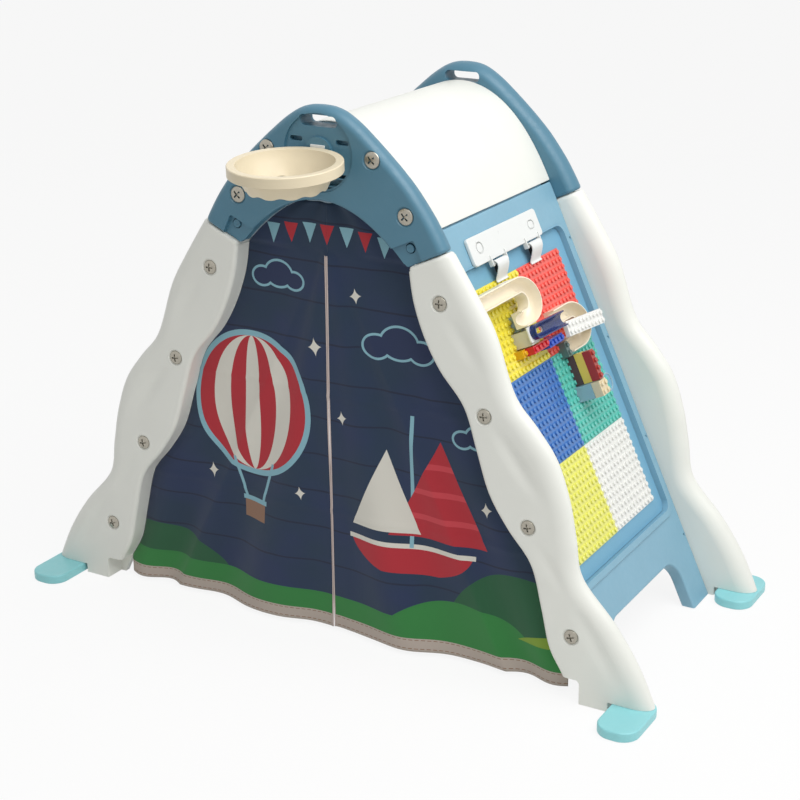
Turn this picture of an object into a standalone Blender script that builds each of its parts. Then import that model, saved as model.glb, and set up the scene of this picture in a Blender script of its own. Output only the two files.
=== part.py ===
"""A toddler's play set shaped like a tent: two moulded end frames, each a head and two wavy legs,
are joined by a curved roof and two sloping side panels. It carries a basket hoop, a paper board with
two clamps, six block plates with a marble run, and a cloth front with a slit for a door.
Metres, +Z up, +X to the right of the cloth front, which faces -Y."""
import math

import bpy
import bmesh
from mathutils import Matrix, Vector

GAP = 0.0003                 # clearance between pieces that touch

# Layout along Y, measured from the front frame's face
FRAME_SPAN = 0.627           # front frame's face to rear frame's face
HOOP_REACH = 0.2205          # the hoop's front edge ahead of that face
FOOT_AHEAD, FOOT_BEHIND = 0.095, 0.052   # each foot's reach to the front and rear of its frame's face
FRONT_Y = HOOP_REACH - (HOOP_REACH + FRAME_SPAN + FOOT_BEHIND) / 2
REAR_Y = FRONT_Y + FRAME_SPAN
MIDDLE_Y = (FRONT_Y + REAR_Y) / 2

# Head: the right half of its outer outline, and an inner one of height = top - square * x^2
HEAD_DEPTH, LIP_DEPTH = 0.074, 0.0493    # whole depth, and that of the part outside the roof and panels
HEAD_BULGE = (0.016, 0.020, 0.020)       # how far the outer edge rounds off at the front and back, and its middle
HEAD_OUTER = ((0, 1.104), (0.025, 1.102), (0.050, 1.0935), (0.080, 1.0745), (0.110, 1.050), (0.140, 1.0235),
              (0.170, 0.995), (0.200, 0.963), (0.235, 0.917), (0.258, 0.880), (0.271, 0.8556))
HEAD_INNER = (0.9236, 3.1, 0.0)
HEAD_INNER_END = 0.187
HEAD_EDGE_RADIUS = 0.006
DISC_Z, DISC_RADIUS, DISC_DEPTH = 1.015, 0.0765, 0.005
BOSS_RADIUS = 0.030
HANDLE_Z, HANDLE_LENGTH, HANDLE_HEIGHT = 1.0755, 0.083, 0.022
HEAD_SCREWS = ((0.117, 1.013), (0.188, 0.914))

# Leg: s runs down the slope from the joint with the head, t runs inwards from the screw line
LEG_SLOPE = math.radians(65)
JOINT_X, JOINT_Z = 0.221, 0.844
LEG_DEPTH = 0.060
LEG_EDGE_RADIUS = 0.009
LEG_BULGE = (0.034, 0.036, 0.022)
LEG_OUTER = ((0.016, -0.056), (0.116, -0.070), (0.190, -0.076), (0.306, -0.066), (0.380, -0.086),
             (0.450, -0.100), (0.530, -0.093), (0.603, -0.076), (0.680, -0.058), (0.783, -0.088),
             (0.880, -0.103), (0.985, -0.102))
LEG_INNER = ((0.016, 0.038), (0.075, 0.055), (0.145, 0.062), (0.215, 0.057), (0.295, 0.037),
             (0.380, 0.046), (0.468, 0.056), (0.545, 0.046), (0.623, 0.027), (0.710, 0.041),
             (0.790, 0.057), (0.852, 0.052), (0.920, 0.050), (0.985, 0.050))
LEG_NOTCH = (0.534, 0.572, 0.050)      # inner x, outer x and height of the notch at the leg's heel
LEG_SCREWS = (0.096, 0.3237, 0.5513, 0.779)
SPIGOT = (-0.030, 0.036, 0.020, 0.024)  # top s, width, depth and distance behind the face

# Release button in the pocket at each end of a head, in the leg's s and t
BUTTON_S, BUTTON_T, BUTTON_RADIUS = -0.0196, 0.0184, 0.0085
POCKET = (-0.032, 0.030, 0.001, 0.092, 0.0092)   # low and high s, low and high t, depth
BUTTON_LENGTH, BUTTON_PROUD, BUTTON_TRAVEL = 0.011, 0.003, 0.004

# Foot
FOOT_X, FOOT_WIDTH, FOOT_HEIGHT, FOOT_CORNER = 0.681, 0.084, 0.020, 0.036

# Screws with domed heads
HEAD_SCREW_RADIUS, LEG_SCREW_RADIUS = 0.0165, 0.0145
SCREW_HEAD_HEIGHT, SCREW_SHANK_RADIUS, SCREW_SHANK = 0.004, 0.003, 0.010

# Roof and side panels
ROOF_TOP, ROOF_THICKNESS = 1.068, 0.008
SEAM_S = -0.031              # the roof meets the panel here
PANEL_RISE = 0.006           # the panel's outer face above the line of the joint
PANEL_THICKNESS = 0.027
PANEL_HALF = 0.264
PANEL_FOOT_Z = 0.002         # the panel's legs end this high above the floor
CUTOUT_HALF, CUTOUT_TOP, CUTOUT_RADIUS = 0.1785, 0.813, 0.050
RECESS = (0.230, 0.063, 0.716, 0.011)     # half width, top s, bottom s, depth
BEAD_WIDTH, BEAD_HEIGHT = 0.016, 0.005
BOARD_THICKNESS = 0.003

# Block plates: twelve studs of 16 mm each way
PLATE, PLATE_THICKNESS, PLATES_TOP = 0.192, 0.0025, 0.105
STUD_PITCH, BRICK = 0.016, 0.0192

# Clamp plate and its two levers
CLAMP_U = -0.012
CLAMP = (0.1495, 0.0075, 0.065, 0.008)    # half width, top s, bottom s, thickness
LEVERS = (("front", -0.0695), ("rear", 0.0840))
LEVER_WIDTH, LEVER_TAB, TAB_SHIFT = 0.056, 0.046, -0.005
BARREL_S, BARREL_H, BARREL_RADIUS = 0.0738, 0.007, 0.0075

# Hoop
HOOP_Y, HOOP_Z = -0.112, 1.019            # centre ahead of the front face, and top of the rim
HOOP_RADIUS = 0.1085
HOOP_DROOP = math.radians(4)              # the hoop hangs a little towards the front
HOOP_SECTION = ((0.0, 0.0925), (0.0, 0.1085), (-0.020, 0.1085), (-0.022, 0.0910),
                (-0.0485, 0.0865), (-0.0485, 0.0835), (-0.022, 0.0878))

# Cloth front
CLOTH_THICKNESS = 0.0025
CLOTH_TOP_Z, CLOTH_HEM_Z = 0.812, 0.010
HINGE_TOP_X, HINGE_FOOT_X = 0.016, 0.400
HINGE_Y = 0.032              # behind the front face
CLOTH_EDGE_GAP = 0.003


def srgb(text):
    """A colour written as six hexadecimal digits, as linear values."""
    out = []
    for i in (0, 2, 4):
        c = int(text[i:i + 2], 16) / 255
        out.append(c / 12.92 if c <= 0.04045 else ((c + 0.055) / 1.055) ** 2.4)
    return (*out, 1.0)


def material(name, colour, roughness=0.45, metallic=0.0):
    made = bpy.data.materials.new(name)
    made.use_nodes = True
    shader = made.node_tree.nodes["Principled BSDF"]
    shader.inputs["Base Color"].default_value = srgb(colour)
    shader.inputs["Roughness"].default_value = roughness
    shader.inputs["Metallic"].default_value = metallic
    made.diffuse_color = srgb(colour)
    return made


def mesh_object(name, bm, frame, finish):
    bmesh.ops.recalc_face_normals(bm, faces=bm.faces)
    mesh = bpy.data.meshes.new(name)
    bm.to_mesh(mesh)
    bm.free()
    made = bpy.data.objects.new(name, mesh)
    bpy.context.scene.collection.objects.link(made)
    made.parent = frame
    if finish:
        mesh.materials.append(finish)
    return made


def prism(name, outline, low, high, frame, finish=None):
    """An outline in the frame's XY plane, made solid from low to high along its Z."""
    bm = bmesh.new()
    face = bm.faces.new([bm.verts.new((x, y, low)) for x, y in outline])
    grown = bmesh.ops.extrude_face_region(bm, geom=[face])["geom"]
    top = [v for v in grown if isinstance(v, bmesh.types.BMVert)]
    bmesh.ops.translate(bm, verts=top, vec=(0, 0, high - low))
    return mesh_object(name, bm, frame, finish)


def turned(name, section, sides, frame, finish=None):
    """A closed section of (height, radius) points turned about the frame's Z."""
    bm = bmesh.new()
    rings = []
    for height, radius in section:
        if radius == 0:
            rings.append([bm.verts.new((0, 0, height))] * sides)
            continue
        turn = [2 * math.pi * i / sides for i in range(sides)]
        rings.append([bm.verts.new((radius * math.cos(a), radius * math.sin(a), height)) for a in turn])
    hollow = all(radius for _, radius in section)
    pairs = list(zip(rings, rings[1:] + rings[:1])) if hollow else list(zip(rings, rings[1:]))
    for ring, other in pairs:
        for i in range(sides):
            j = (i + 1) % sides
            corners = dict.fromkeys((ring[i], ring[j], other[j], other[i]))
            if len(corners) > 2:
                bm.faces.new(list(corners))
    return mesh_object(name, bm, frame, finish)


def tube_section_path(name, section, path, rise, finish, frame):
    """A closed section of (across, height) points carried along a path of (x, y) points. The outer wall
    of the bend is higher by the rise."""
    bm = bmesh.new()
    rows = []
    top = max(h for _, h in section)
    for i, (x, y) in enumerate(path):
        ahead, behind = path[min(i + 1, len(path) - 1)], path[max(i - 1, 0)]
        along = Vector((ahead[0] - behind[0], ahead[1] - behind[1])).normalized()
        lift = rise * math.sin(math.pi * max(i - 1, 0) / (len(path) - 2)) if i < len(path) - 1 else 0
        rows.append([bm.verts.new((x - along.y * a, y + along.x * a, h + lift * (a > 0 and h == top)))
                     for a, h in section])
    for row, other in zip(rows, rows[1:]):
        for i in range(len(section)):
            j = (i + 1) % len(section)
            bm.faces.new((row[i], row[j], other[j], other[i]))
    bm.faces.new(rows[0])
    bm.faces.new(rows[-1])
    return mesh_object(name, bm, frame, finish)


def bevel(piece, width, segments=2, angle=40):
    edge = piece.modifiers.new("rounded edges", "BEVEL")
    edge.width, edge.segments = width, segments
    edge.limit_method, edge.angle_limit = "ANGLE", math.radians(angle)
    edge.use_clamp_overlap = True


def boolean(piece, cutter, operation="DIFFERENCE"):
    step = piece.modifiers.new(operation.lower(), "BOOLEAN")
    step.operation, step.object, step.solver = operation, cutter, "EXACT"
    cutter.hide_render = True
    cutter.display_type = "WIRE"


def smooth_path(points, steps):
    """A curve through the points, with the given number of steps from each to the next."""
    out = []
    for i in range(len(points) - 1):
        a, b = points[max(i - 1, 0)], points[i]
        c, d = points[i + 1], points[min(i + 2, len(points) - 1)]
        for k in range(steps):
            f = k / steps
            out.append(tuple(0.5 * (2 * q + (r - p) * f + (2 * p - 5 * q + 4 * r - s) * f ** 2
                                    + (3 * q - p - 3 * r + s) * f ** 3)
                             for p, q, r, s in zip(a, b, c, d)))
    return out + [points[-1]]


def rounded_box(left, right, low, high, radius, steps=3):
    """The outline of a rectangle with round corners."""
    out = []
    corners = ((right, high, 0), (left, high, 90), (left, low, 180), (right, low, 270))
    for x, y, start in corners:
        cx = x - radius if start in (0, 270) else x + radius
        cy = y - radius if start in (0, 90) else y + radius
        for k in range(steps + 1):
            a = math.radians(start + 90 * k / steps)
            out.append((cx + radius * math.cos(a), cy + radius * math.sin(a)))
    return out


def circle(x, y, radius, sides):
    return [(x + radius * math.cos(2 * math.pi * i / sides), y + radius * math.sin(2 * math.pi * i / sides))
            for i in range(sides)]


def leg_point(s, t):
    """A point of the frame's face from its place along and across the right leg."""
    return (JOINT_X + s * math.cos(LEG_SLOPE) - t * math.sin(LEG_SLOPE),
            JOINT_Z - s * math.sin(LEG_SLOPE) - t * math.cos(LEG_SLOPE))


def mirrored(outline, side):
    return [(side * x, y) for x, y in outline]


def frame_empty(name, matrix):
    empty = bpy.data.objects.new(name, None)
    bpy.context.scene.collection.objects.link(empty)
    empty.matrix_world = matrix
    return empty


def box_in(name, frame, x, y, z):
    """A box in a frame, each side given as a low and a high value."""
    return prism(name, [(x[0], y[0]), (x[1], y[0]), (x[1], y[1]), (x[0], y[1])], z[0], z[1], frame)


def curve_height(curve, x):
    top, square, fourth = curve
    return top - square * x ** 2 - fourth * x ** 4


def curve_points(curve, end, count):
    return [(x, curve_height(curve, x)) for x in (end * (2 * i / count - 1) for i in range(count + 1))]


# Frames to model in: each end frame has local X across, local Y up and local Z out of its face;
# each side has local X to the right, local Y up the slope and local Z out of its face
def make_frames():
    upright = Matrix.Rotation(math.radians(90), 4, "X")
    half_turn = Matrix.Rotation(math.pi, 4, "Z")
    ends = {"front": frame_empty("front_frame", Matrix.Translation((0, FRONT_Y, 0)) @ upright),
            "rear": frame_empty("rear_frame", Matrix.Translation((0, REAR_Y, 0)) @ half_turn @ upright)}
    origin = Vector((JOINT_X + PANEL_RISE * math.sin(LEG_SLOPE), 0, JOINT_Z + PANEL_RISE * math.cos(LEG_SLOPE)))
    down = Vector((math.cos(LEG_SLOPE), 0, -math.sin(LEG_SLOPE)))
    out = Vector((math.sin(LEG_SLOPE), 0, math.cos(LEG_SLOPE)))
    right = Matrix((Vector((0, 1, 0)), -down, out)).transposed().to_4x4()
    right.translation = origin
    middle = Matrix.Translation((0, MIDDLE_Y, 0))
    sides = {"right": frame_empty("right_side", middle @ right),
             "left": frame_empty("left_side", middle @ half_turn @ right)}
    return ends, sides


def bulge(shape, steps):
    """How a rounded outer edge runs from the face to the back of the lip, as (inset, height) points."""
    front, back, middle = shape
    turn = [math.pi / 2 * k / steps for k in range(steps + 1)]
    ahead = [(front * (1 - math.sin(a)), -middle * (1 - math.cos(a))) for a in turn]
    behind = [(back * (1 - math.cos(a)), -middle - (LIP_DEPTH - middle) * math.sin(a)) for a in turn]
    return ahead + behind[1:]


def loft(name, rows, frame, finish):
    """A closed section carried from row to row, each row a list of (x, y, z)."""
    bm = bmesh.new()
    made = [[bm.verts.new(point) for point in row] for row in rows]
    for row, other in zip(made, made[1:]):
        for i in range(len(row)):
            j = (i + 1) % len(row)
            bm.faces.new((row[i], row[j], other[j], other[i]))
    bm.faces.new(made[0])
    bm.faces.new(made[-1])
    return mesh_object(name, bm, frame, finish)


def roof_curve():
    """The roof's outer height, as (top, square, fourth), and the x of its seam: it meets the panel's slope."""
    x = JOINT_X + SEAM_S * math.cos(LEG_SLOPE) + PANEL_RISE * math.sin(LEG_SLOPE)
    drop = ROOF_TOP - (JOINT_Z - SEAM_S * math.sin(LEG_SLOPE) + PANEL_RISE * math.cos(LEG_SLOPE))
    fourth = (x * math.tan(LEG_SLOPE) / 2 - drop) / x ** 4
    return (ROOF_TOP, (drop - fourth * x ** 4) / x ** 2, fourth), x


def roof_lines(count):
    """The roof's outer and inner lines, from left to right."""
    (top, square, fourth), x = roof_curve()
    outer, inner = [], []
    for px, pz in curve_points((top, square, fourth), x, count):
        slope = math.atan(2 * square * px + 4 * fourth * px ** 3)
        outer.append((px, pz))
        inner.append((px - ROOF_THICKNESS * math.sin(slope), pz - ROOF_THICKNESS * math.cos(slope)))
    return outer, inner


def make_head(end, frame, finish):
    """A lip that shows, with a bulging outer edge, and behind it a flange under the roof and the panels."""
    right = smooth_path(HEAD_OUTER, 3)
    outer = mirrored(right, -1)[::-1] + right[1:]
    top, square, _ = HEAD_INNER
    rows = []
    for i, (x, y) in enumerate(outer):
        before, after = outer[max(i - 1, 0)], outer[min(i + 1, len(outer) - 1)]
        along = Vector((after[0] - before[0], after[1] - before[1])).normalized()
        ix = -HEAD_INNER_END + 2 * HEAD_INNER_END * i / (len(outer) - 1)
        iy = top - square * ix ** 2
        inwards = Vector((along.y, -along.x))
        into = Vector((2 * square * ix, 1)).normalized()
        if i in (0, len(outer) - 1):
            inwards = Vector((ix - x, iy - y)).normalized()
            into = -inwards
        edge = [(x + inwards.x * a, y + inwards.y * a, h) for a, h in bulge(HEAD_BULGE, 4)]
        rim = [(ix + into.x * a, iy + into.y * a, h)
               for a, h in ((0, -HEAD_EDGE_RADIUS), (0.29 * HEAD_EDGE_RADIUS, -0.29 * HEAD_EDGE_RADIUS),
                            (HEAD_EDGE_RADIUS, 0))]
        rows.append([(ix, iy, -LIP_DEPTH)] + rim + edge)
    head = loft(f"{end}_head", rows, frame, finish)
    flat = head.modifiers.new("one face where it is flat", "DECIMATE")
    flat.decimate_type, flat.angle_limit = "DISSOLVE", math.radians(0.2)
    under = [(x, z - GAP) for x, z in roof_lines(28)[1]]
    seat = PANEL_RISE - PANEL_THICKNESS
    hook = [leg_point(SEAM_S, -seat + GAP), leg_point(0.0, -seat + GAP)]
    inner = curve_points(HEAD_INNER, HEAD_INNER_END, 18)
    flange = prism(f"{end}_flange", mirrored(hook, -1)[::-1] + under[2:-2] + hook + inner[::-1], -HEAD_DEPTH,
                   -LIP_DEPTH + 0.004, frame)
    boolean(head, flange, "UNION")
    ring = turned(f"{end}_disc_recess", ((0.01, BOSS_RADIUS), (0.01, DISC_RADIUS), (-DISC_DEPTH, DISC_RADIUS),
                                         (-DISC_DEPTH, BOSS_RADIUS)), 32, frame)
    ring.location = (0, DISC_Z, 0)
    ring.rotation_euler = (0, 0, math.radians(3))
    boolean(head, ring)
    grip = rounded_box(-HANDLE_LENGTH / 2, HANDLE_LENGTH / 2, HANDLE_Z - HANDLE_HEIGHT / 2,
                       HANDLE_Z + HANDLE_HEIGHT / 2, HANDLE_HEIGHT / 2 - 0.001, 4)
    boolean(head, prism(f"{end}_grip_slot", grip, -0.1, 0.02, frame))
    if end == "front":
        tongue = box_in("tongue_slot", frame, (-0.0163, 0.0163), (0.9945, 1.0315), (-0.013, 0.01))
        boolean(head, tongue)
    for side, label in ((1, "right"), (-1, "left")):
        low_s, high_s, low_t, high_t, depth = POCKET
        corners = [leg_point(low_s, low_t), leg_point(high_s, low_t), leg_point(high_s, high_t),
                   leg_point(low_s, high_t)]
        boolean(head, prism(f"{end}_pocket_{label}", mirrored(corners, side), -depth, 0.02, frame))
        x, y = leg_point(BUTTON_S, BUTTON_T)
        bore = circle(side * x, y, BUTTON_RADIUS + 0.0006, 16)
        bottom = POCKET[4] - BUTTON_PROUD + BUTTON_LENGTH + BUTTON_TRAVEL + 0.0005
        boolean(head, prism(f"{end}_bore_{label}", bore, -bottom, 0.02, frame))
        top_s, width, deep, behind = SPIGOT
        socket = [leg_point(s, t) for s, t in ((top_s - 0.001, -width / 2 - 0.001), (0.05, -width / 2 - 0.001),
                                               (0.05, width / 2 + 0.001), (top_s - 0.001, width / 2 + 0.001))]
        boolean(head, prism(f"{end}_socket_{label}", mirrored(socket, side), -behind - deep - 0.001,
                            -behind + 0.001, frame))
        if end == "front":
            for i, (sx, sz) in enumerate(HEAD_SCREWS):
                hole = circle(side * sx, sz, SCREW_SHANK_RADIUS + 0.0008, 8)
                boolean(head, prism(f"head_hole_{label}_{i}", hole, -0.014, 0.02, frame))
    return head


def across(points, s):
    """The t of a curve drawn as (s, t) points, at one s."""
    for (s0, t0), (s1, t1) in zip(points, points[1:]):
        if s0 <= s <= s1:
            return t0 + (t1 - t0) * (s - s0) / (s1 - s0)
    return points[-1][1]


def make_leg(end, label, frame, finish):
    """A section carried down the slope: a flange inside, a flat strip with the screws and a bulging outer edge."""
    side = 1 if label == "right" else -1
    outer, inner = smooth_path(LEG_OUTER, 6), smooth_path(LEG_INNER, 6)
    first, last, count, r = LEG_OUTER[0][0], LEG_OUTER[-1][0], 34, LEG_EDGE_RADIUS
    seat = -(PANEL_RISE - PANEL_THICKNESS) + GAP
    rows = []
    for i in range(count + 1):
        s = first + (last - first) * i / count
        t_in, t_out = across(inner, s), across(outer, s)
        line = [(t_in, -LEG_DEPTH), (t_in, -r)]
        line += [(t_in - r + r * math.cos(a), -r + r * math.sin(a)) for a in (math.pi / 4, math.pi / 2)]
        line += [(t_out + a, h) for a, h in bulge(LEG_BULGE, 3)]
        line += [(seat, -LIP_DEPTH), (seat, -LEG_DEPTH)]
        rows.append([(side * leg_point(s, t)[0], leg_point(s, t)[1], h) for t, h in line])
    leg = loft(f"{end}_{label}_leg", rows, frame, finish)
    boolean(leg, box_in(f"{end}_{label}_floor", frame, (-1, 1), (-0.3, 0), (-0.3, 0.1)))
    notch_in, notch_out, notch_height = LEG_NOTCH
    notch = mirrored([(0.3, -0.1), (notch_out + 0.003, -0.1), (notch_out, notch_height), (0.3, notch_height)], side)
    boolean(leg, prism(f"{end}_{label}_notch", notch, -0.1, 0.1, frame))
    top_s, width, deep, behind = SPIGOT
    spigot = [leg_point(s, t) for s, t in ((top_s, -width / 2), (0.030, -width / 2), (0.030, width / 2),
                                           (top_s, width / 2))]
    boolean(leg, prism(f"{end}_{label}_spigot", mirrored(spigot, side), -behind - deep, -behind, frame), "UNION")
    if end == "front":
        for i, s in enumerate(LEG_SCREWS):
            x, y = leg_point(s, 0)
            hole = circle(side * x, y, SCREW_SHANK_RADIUS + 0.0008, 8)
            boolean(leg, prism(f"leg_hole_{label}_{i}", hole, -0.014, 0.02, frame))
    foot_edge = FOOT_X - FOOT_WIDTH / 2 - 0.010
    under = mirrored([(foot_edge, -0.01), (0.9, -0.01), (0.9, FOOT_HEIGHT + GAP), (foot_edge, FOOT_HEIGHT + GAP)],
                     side)
    boolean(leg, prism(f"{end}_{label}_foot_seat", under, -0.1, 0.02, frame))
    return leg


def make_foot(end, label, frame, finish):
    """Drawn flat and turned to lie on the floor. All four feet reach further to the front."""
    centre = FOOT_X if label == "right" else -FOOT_X
    out, back = (FOOT_AHEAD, FOOT_BEHIND) if end == "front" else (FOOT_BEHIND, FOOT_AHEAD)
    plan = rounded_box(centre - FOOT_WIDTH / 2, centre + FOOT_WIDTH / 2, -back, out, FOOT_CORNER, 5)
    foot = prism(f"{end}_{label}_foot", plan, -FOOT_HEIGHT, 0, frame, finish)
    foot.rotation_euler = (math.radians(90), 0, 0)
    bevel(foot, 0.004, 2, 50)
    return foot


def make_button(end, label, frame, finish):
    side = 1 if label == "right" else -1
    x, y = leg_point(BUTTON_S, BUTTON_T)
    top = BUTTON_PROUD - POCKET[4]
    section = ((top, 0), (top, BUTTON_RADIUS - 0.001), (top - 0.001, BUTTON_RADIUS),
               (top - BUTTON_LENGTH, BUTTON_RADIUS), (top - BUTTON_LENGTH, 0))
    button = turned(f"{end}_{label}_button", section, 20, frame, finish)
    button.location = (side * x, y, 0)
    return button


def make_screw(name, x, y, r, frame, finish):
    h = SCREW_HEAD_HEIGHT
    section = ((GAP + h, 0), (GAP + h * 0.75, r * 0.55), (GAP + h * 0.3, r * 0.9), (GAP, r),
               (GAP, SCREW_SHANK_RADIUS), (-SCREW_SHANK, SCREW_SHANK_RADIUS), (-SCREW_SHANK, 0))
    screw = turned(name, section, 12, frame, finish)
    screw.location = (x, y, 0)
    return screw


def make_roof(finish):
    """The roof's curve ends at the seam, in line with the side panels."""
    outer, inner = roof_lines(28)
    frame = frame_empty("roof_frame", Matrix.Translation((0, MIDDLE_Y, 0))
                        @ Matrix.Rotation(math.radians(90), 4, "X"))
    return prism("roof_panel", outer + inner[::-1], -PANEL_HALF, PANEL_HALF, frame, finish)


def make_panel(label, frame, finish):
    top, bottom = -SEAM_S - GAP, -1.0
    right = [(PANEL_HALF, top), (PANEL_HALF, bottom), (CUTOUT_HALF + 0.020, bottom), (CUTOUT_HALF, bottom + 0.020)]
    arc = [(CUTOUT_HALF - CUTOUT_RADIUS + CUTOUT_RADIUS * math.cos(a),
            -CUTOUT_TOP - CUTOUT_RADIUS + CUTOUT_RADIUS * math.sin(a))
           for a in (math.pi / 2 * k / 6 for k in range(7))]
    half_outline = right + arc
    outline = half_outline + [(-x, y) for x, y in half_outline[::-1]]
    panel = prism(f"{label}_side_panel", outline, -PANEL_THICKNESS, 0, frame, finish)
    half, top_s, bottom_s, depth = RECESS
    bead = prism(f"{label}_bead", rounded_box(-half - BEAD_WIDTH, half + BEAD_WIDTH, -bottom_s - BEAD_WIDTH,
                                              -top_s + 0.002, 0.034, 5), -0.004, BEAD_HEIGHT, frame)
    bevel(bead, 0.004, 2, 60)
    boolean(panel, bead, "UNION")
    boolean(panel, prism(f"{label}_recess", rounded_box(-half, half, -bottom_s, -top_s, 0.022, 5), -depth, 0.03,
                         frame))
    clearance = box_in(f"{label}_clamp_seat", frame, (CLAMP_U - CLAMP[0] - 0.001, CLAMP_U + CLAMP[0] + 0.001),
                       (-CLAMP[2] - 0.001, -CLAMP[1]), (0.0, 0.03))
    boolean(panel, clearance)
    floor = prism(f"{label}_floor_cut", ((-1, -1), (1, -1), (1, 1), (-1, 1)), -0.3, PANEL_FOOT_Z, None)
    boolean(panel, floor)
    return panel


def make_board(label, frame, finish):
    half, top_s, bottom_s, depth = RECESS
    outline = rounded_box(-half + 0.001, half - 0.001, -bottom_s + 0.001, -top_s - 0.001, 0.021, 4)
    return prism(f"{label}_board", outline, -depth + GAP, -depth + GAP + BOARD_THICKNESS, frame, finish)


BOARD_TOP = -RECESS[3] + GAP + BOARD_THICKNESS
PLATE_TOP = BOARD_TOP + GAP + PLATE_THICKNESS


def make_plates(frame, finishes):
    for row, pair in enumerate(finishes):
        for column, (name, finish) in enumerate(pair):
            left = -PLATE + column * PLATE + GAP / 2
            high = -PLATES_TOP - row * PLATE - GAP / 2
            outline = [(left, high - PLATE + GAP), (left + PLATE - GAP, high - PLATE + GAP),
                       (left + PLATE - GAP, high), (left, high)]
            prism(f"block_plate_{name}", outline, BOARD_TOP + GAP, PLATE_TOP, frame, finish)


def make_clamp(frame, white):
    half, top_s, bottom_s, thickness = CLAMP
    plate = prism("clamp_plate", rounded_box(CLAMP_U - half, CLAMP_U + half, -bottom_s, -top_s, 0.008, 3), GAP,
                  thickness, frame, white)
    bevel(plate, 0.0015, 1, 60)
    for label, u in LEVERS:
        for face in (-1, 1):
            inner = u + face * (LEVER_WIDTH / 2 + 0.0006)
            outer = inner + face * 0.004
            ear = box_in(f"clamp_ear_{label}_{face}", frame, sorted((inner, outer)),
                         (-BARREL_S - 0.004, -bottom_s + 0.010), (0.001, BARREL_H + 0.004))
            boolean(plate, ear, "UNION")
        # Lever: a barrel and a finger tab that curves down onto the board
        axis = frame_empty(f"clamp_axis_{label}", frame.matrix_world
                           @ Matrix.Translation((u, -BARREL_S, BARREL_H)) @ Matrix.Rotation(math.radians(90), 4, "Y"))
        lever = prism(f"clamp_lever_{label}", circle(0, 0, BARREL_RADIUS, 20), -LEVER_WIDTH / 2, LEVER_WIDTH / 2,
                      axis, white)
        # in this frame local X points into the panel and local Y up the slope
        reach = smooth_path(((-0.0035, -0.004), (-0.0030, -0.016), (0.0010, -0.027), (0.0045, -0.036)), 3)
        thick = [(x + 0.0030, y + 0.001) for x, y in reach[::-1]]
        tab = prism(f"clamp_tab_{label}", reach + thick, TAB_SHIFT - LEVER_TAB / 2, TAB_SHIFT + LEVER_TAB / 2, axis)
        boolean(lever, tab, "UNION")


def make_hoop(frame, cream, white):
    hoop_frame = frame_empty("hoop_frame", Matrix.Translation((0, FRONT_Y + HOOP_Y, HOOP_Z))
                             @ Matrix.Rotation(HOOP_DROOP, 4, "X"))
    turned("hoop", HOOP_SECTION, 40, hoop_frame, cream)
    back = HOOP_RADIUS * math.cos(HOOP_DROOP) + 0.020 * math.sin(HOOP_DROOP)
    bracket = prism("hoop_bracket", [(-0.016, 0.995), (0.016, 0.995), (0.016, 1.031), (-0.016, 1.031)], -0.012,
                    -HOOP_Y - back - GAP, frame, white)
    bevel(bracket, 0.001, 1)


def brick(name, centre_y, top_s, columns, rows, level, frame, finish, height=BRICK, turn=0):
    """A block on the plates: studs across and down, standing out from the panel by its level. It may be turned
    a few degrees about the middle of its upper edge."""
    if turn:
        frame = frame_empty(f"{name}_place", frame.matrix_world @ Matrix.Translation((centre_y, -top_s, 0))
                            @ Matrix.Rotation(math.radians(turn), 4, "Z"))
        centre_y, top_s = 0, 0
    left = centre_y - columns * STUD_PITCH / 2 + GAP / 2
    base = PLATE_TOP + GAP + level * (BRICK + GAP)
    high = -top_s
    outline = [(left, high - rows * STUD_PITCH + GAP), (left + columns * STUD_PITCH - GAP,
               high - rows * STUD_PITCH + GAP), (left + columns * STUD_PITCH - GAP, high), (left, high)]
    made = prism(name, outline, base, base + height, frame, finish)
    bevel(made, 0.0006, 1, 60)
    return made


def make_track(name, start_u, turn_u, top_s, level, end_u, frame, finish, rise=0.013):
    """A half pipe that runs straight, turns back below itself and ends in a short straight."""
    radius, half, wall, height = 0.032, 0.016, 0.0025, 0.026
    base = PLATE_TOP + GAP + level * (BRICK + GAP)
    bowl = [((half - wall) * math.cos(a), base + height + (height - wall) * math.sin(a))
            for a in (-math.pi * k / 8 for k in range(1, 8))]
    section = [(half, base + height), (half - wall, base + height)] + bowl \
        + [(-half + wall, base + height), (-half, base + height), (-half, base), (half, base)]
    line = -top_s - half
    path = [(start_u, line), ((start_u + turn_u) / 2, line)]
    path += [(turn_u + radius * math.sin(a), line - radius + radius * math.cos(a))
             for a in (math.pi * k / 10 for k in range(11))]
    path.append((end_u, line - 2 * radius))
    return tube_section_path(name, section, path, rise, finish, frame)


CHANNEL_LEFT, CHANNEL_S, CHANNEL_FALL, CHANNEL_WIDTH, CHANNEL_LENGTH = -0.1150, 0.2255, 2.2, 0.031, 0.134
CHANNEL_BORE, CHANNEL_HEIGHT, TRAY_THICKNESS = 0.0125, 0.0175, 0.004


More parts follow.
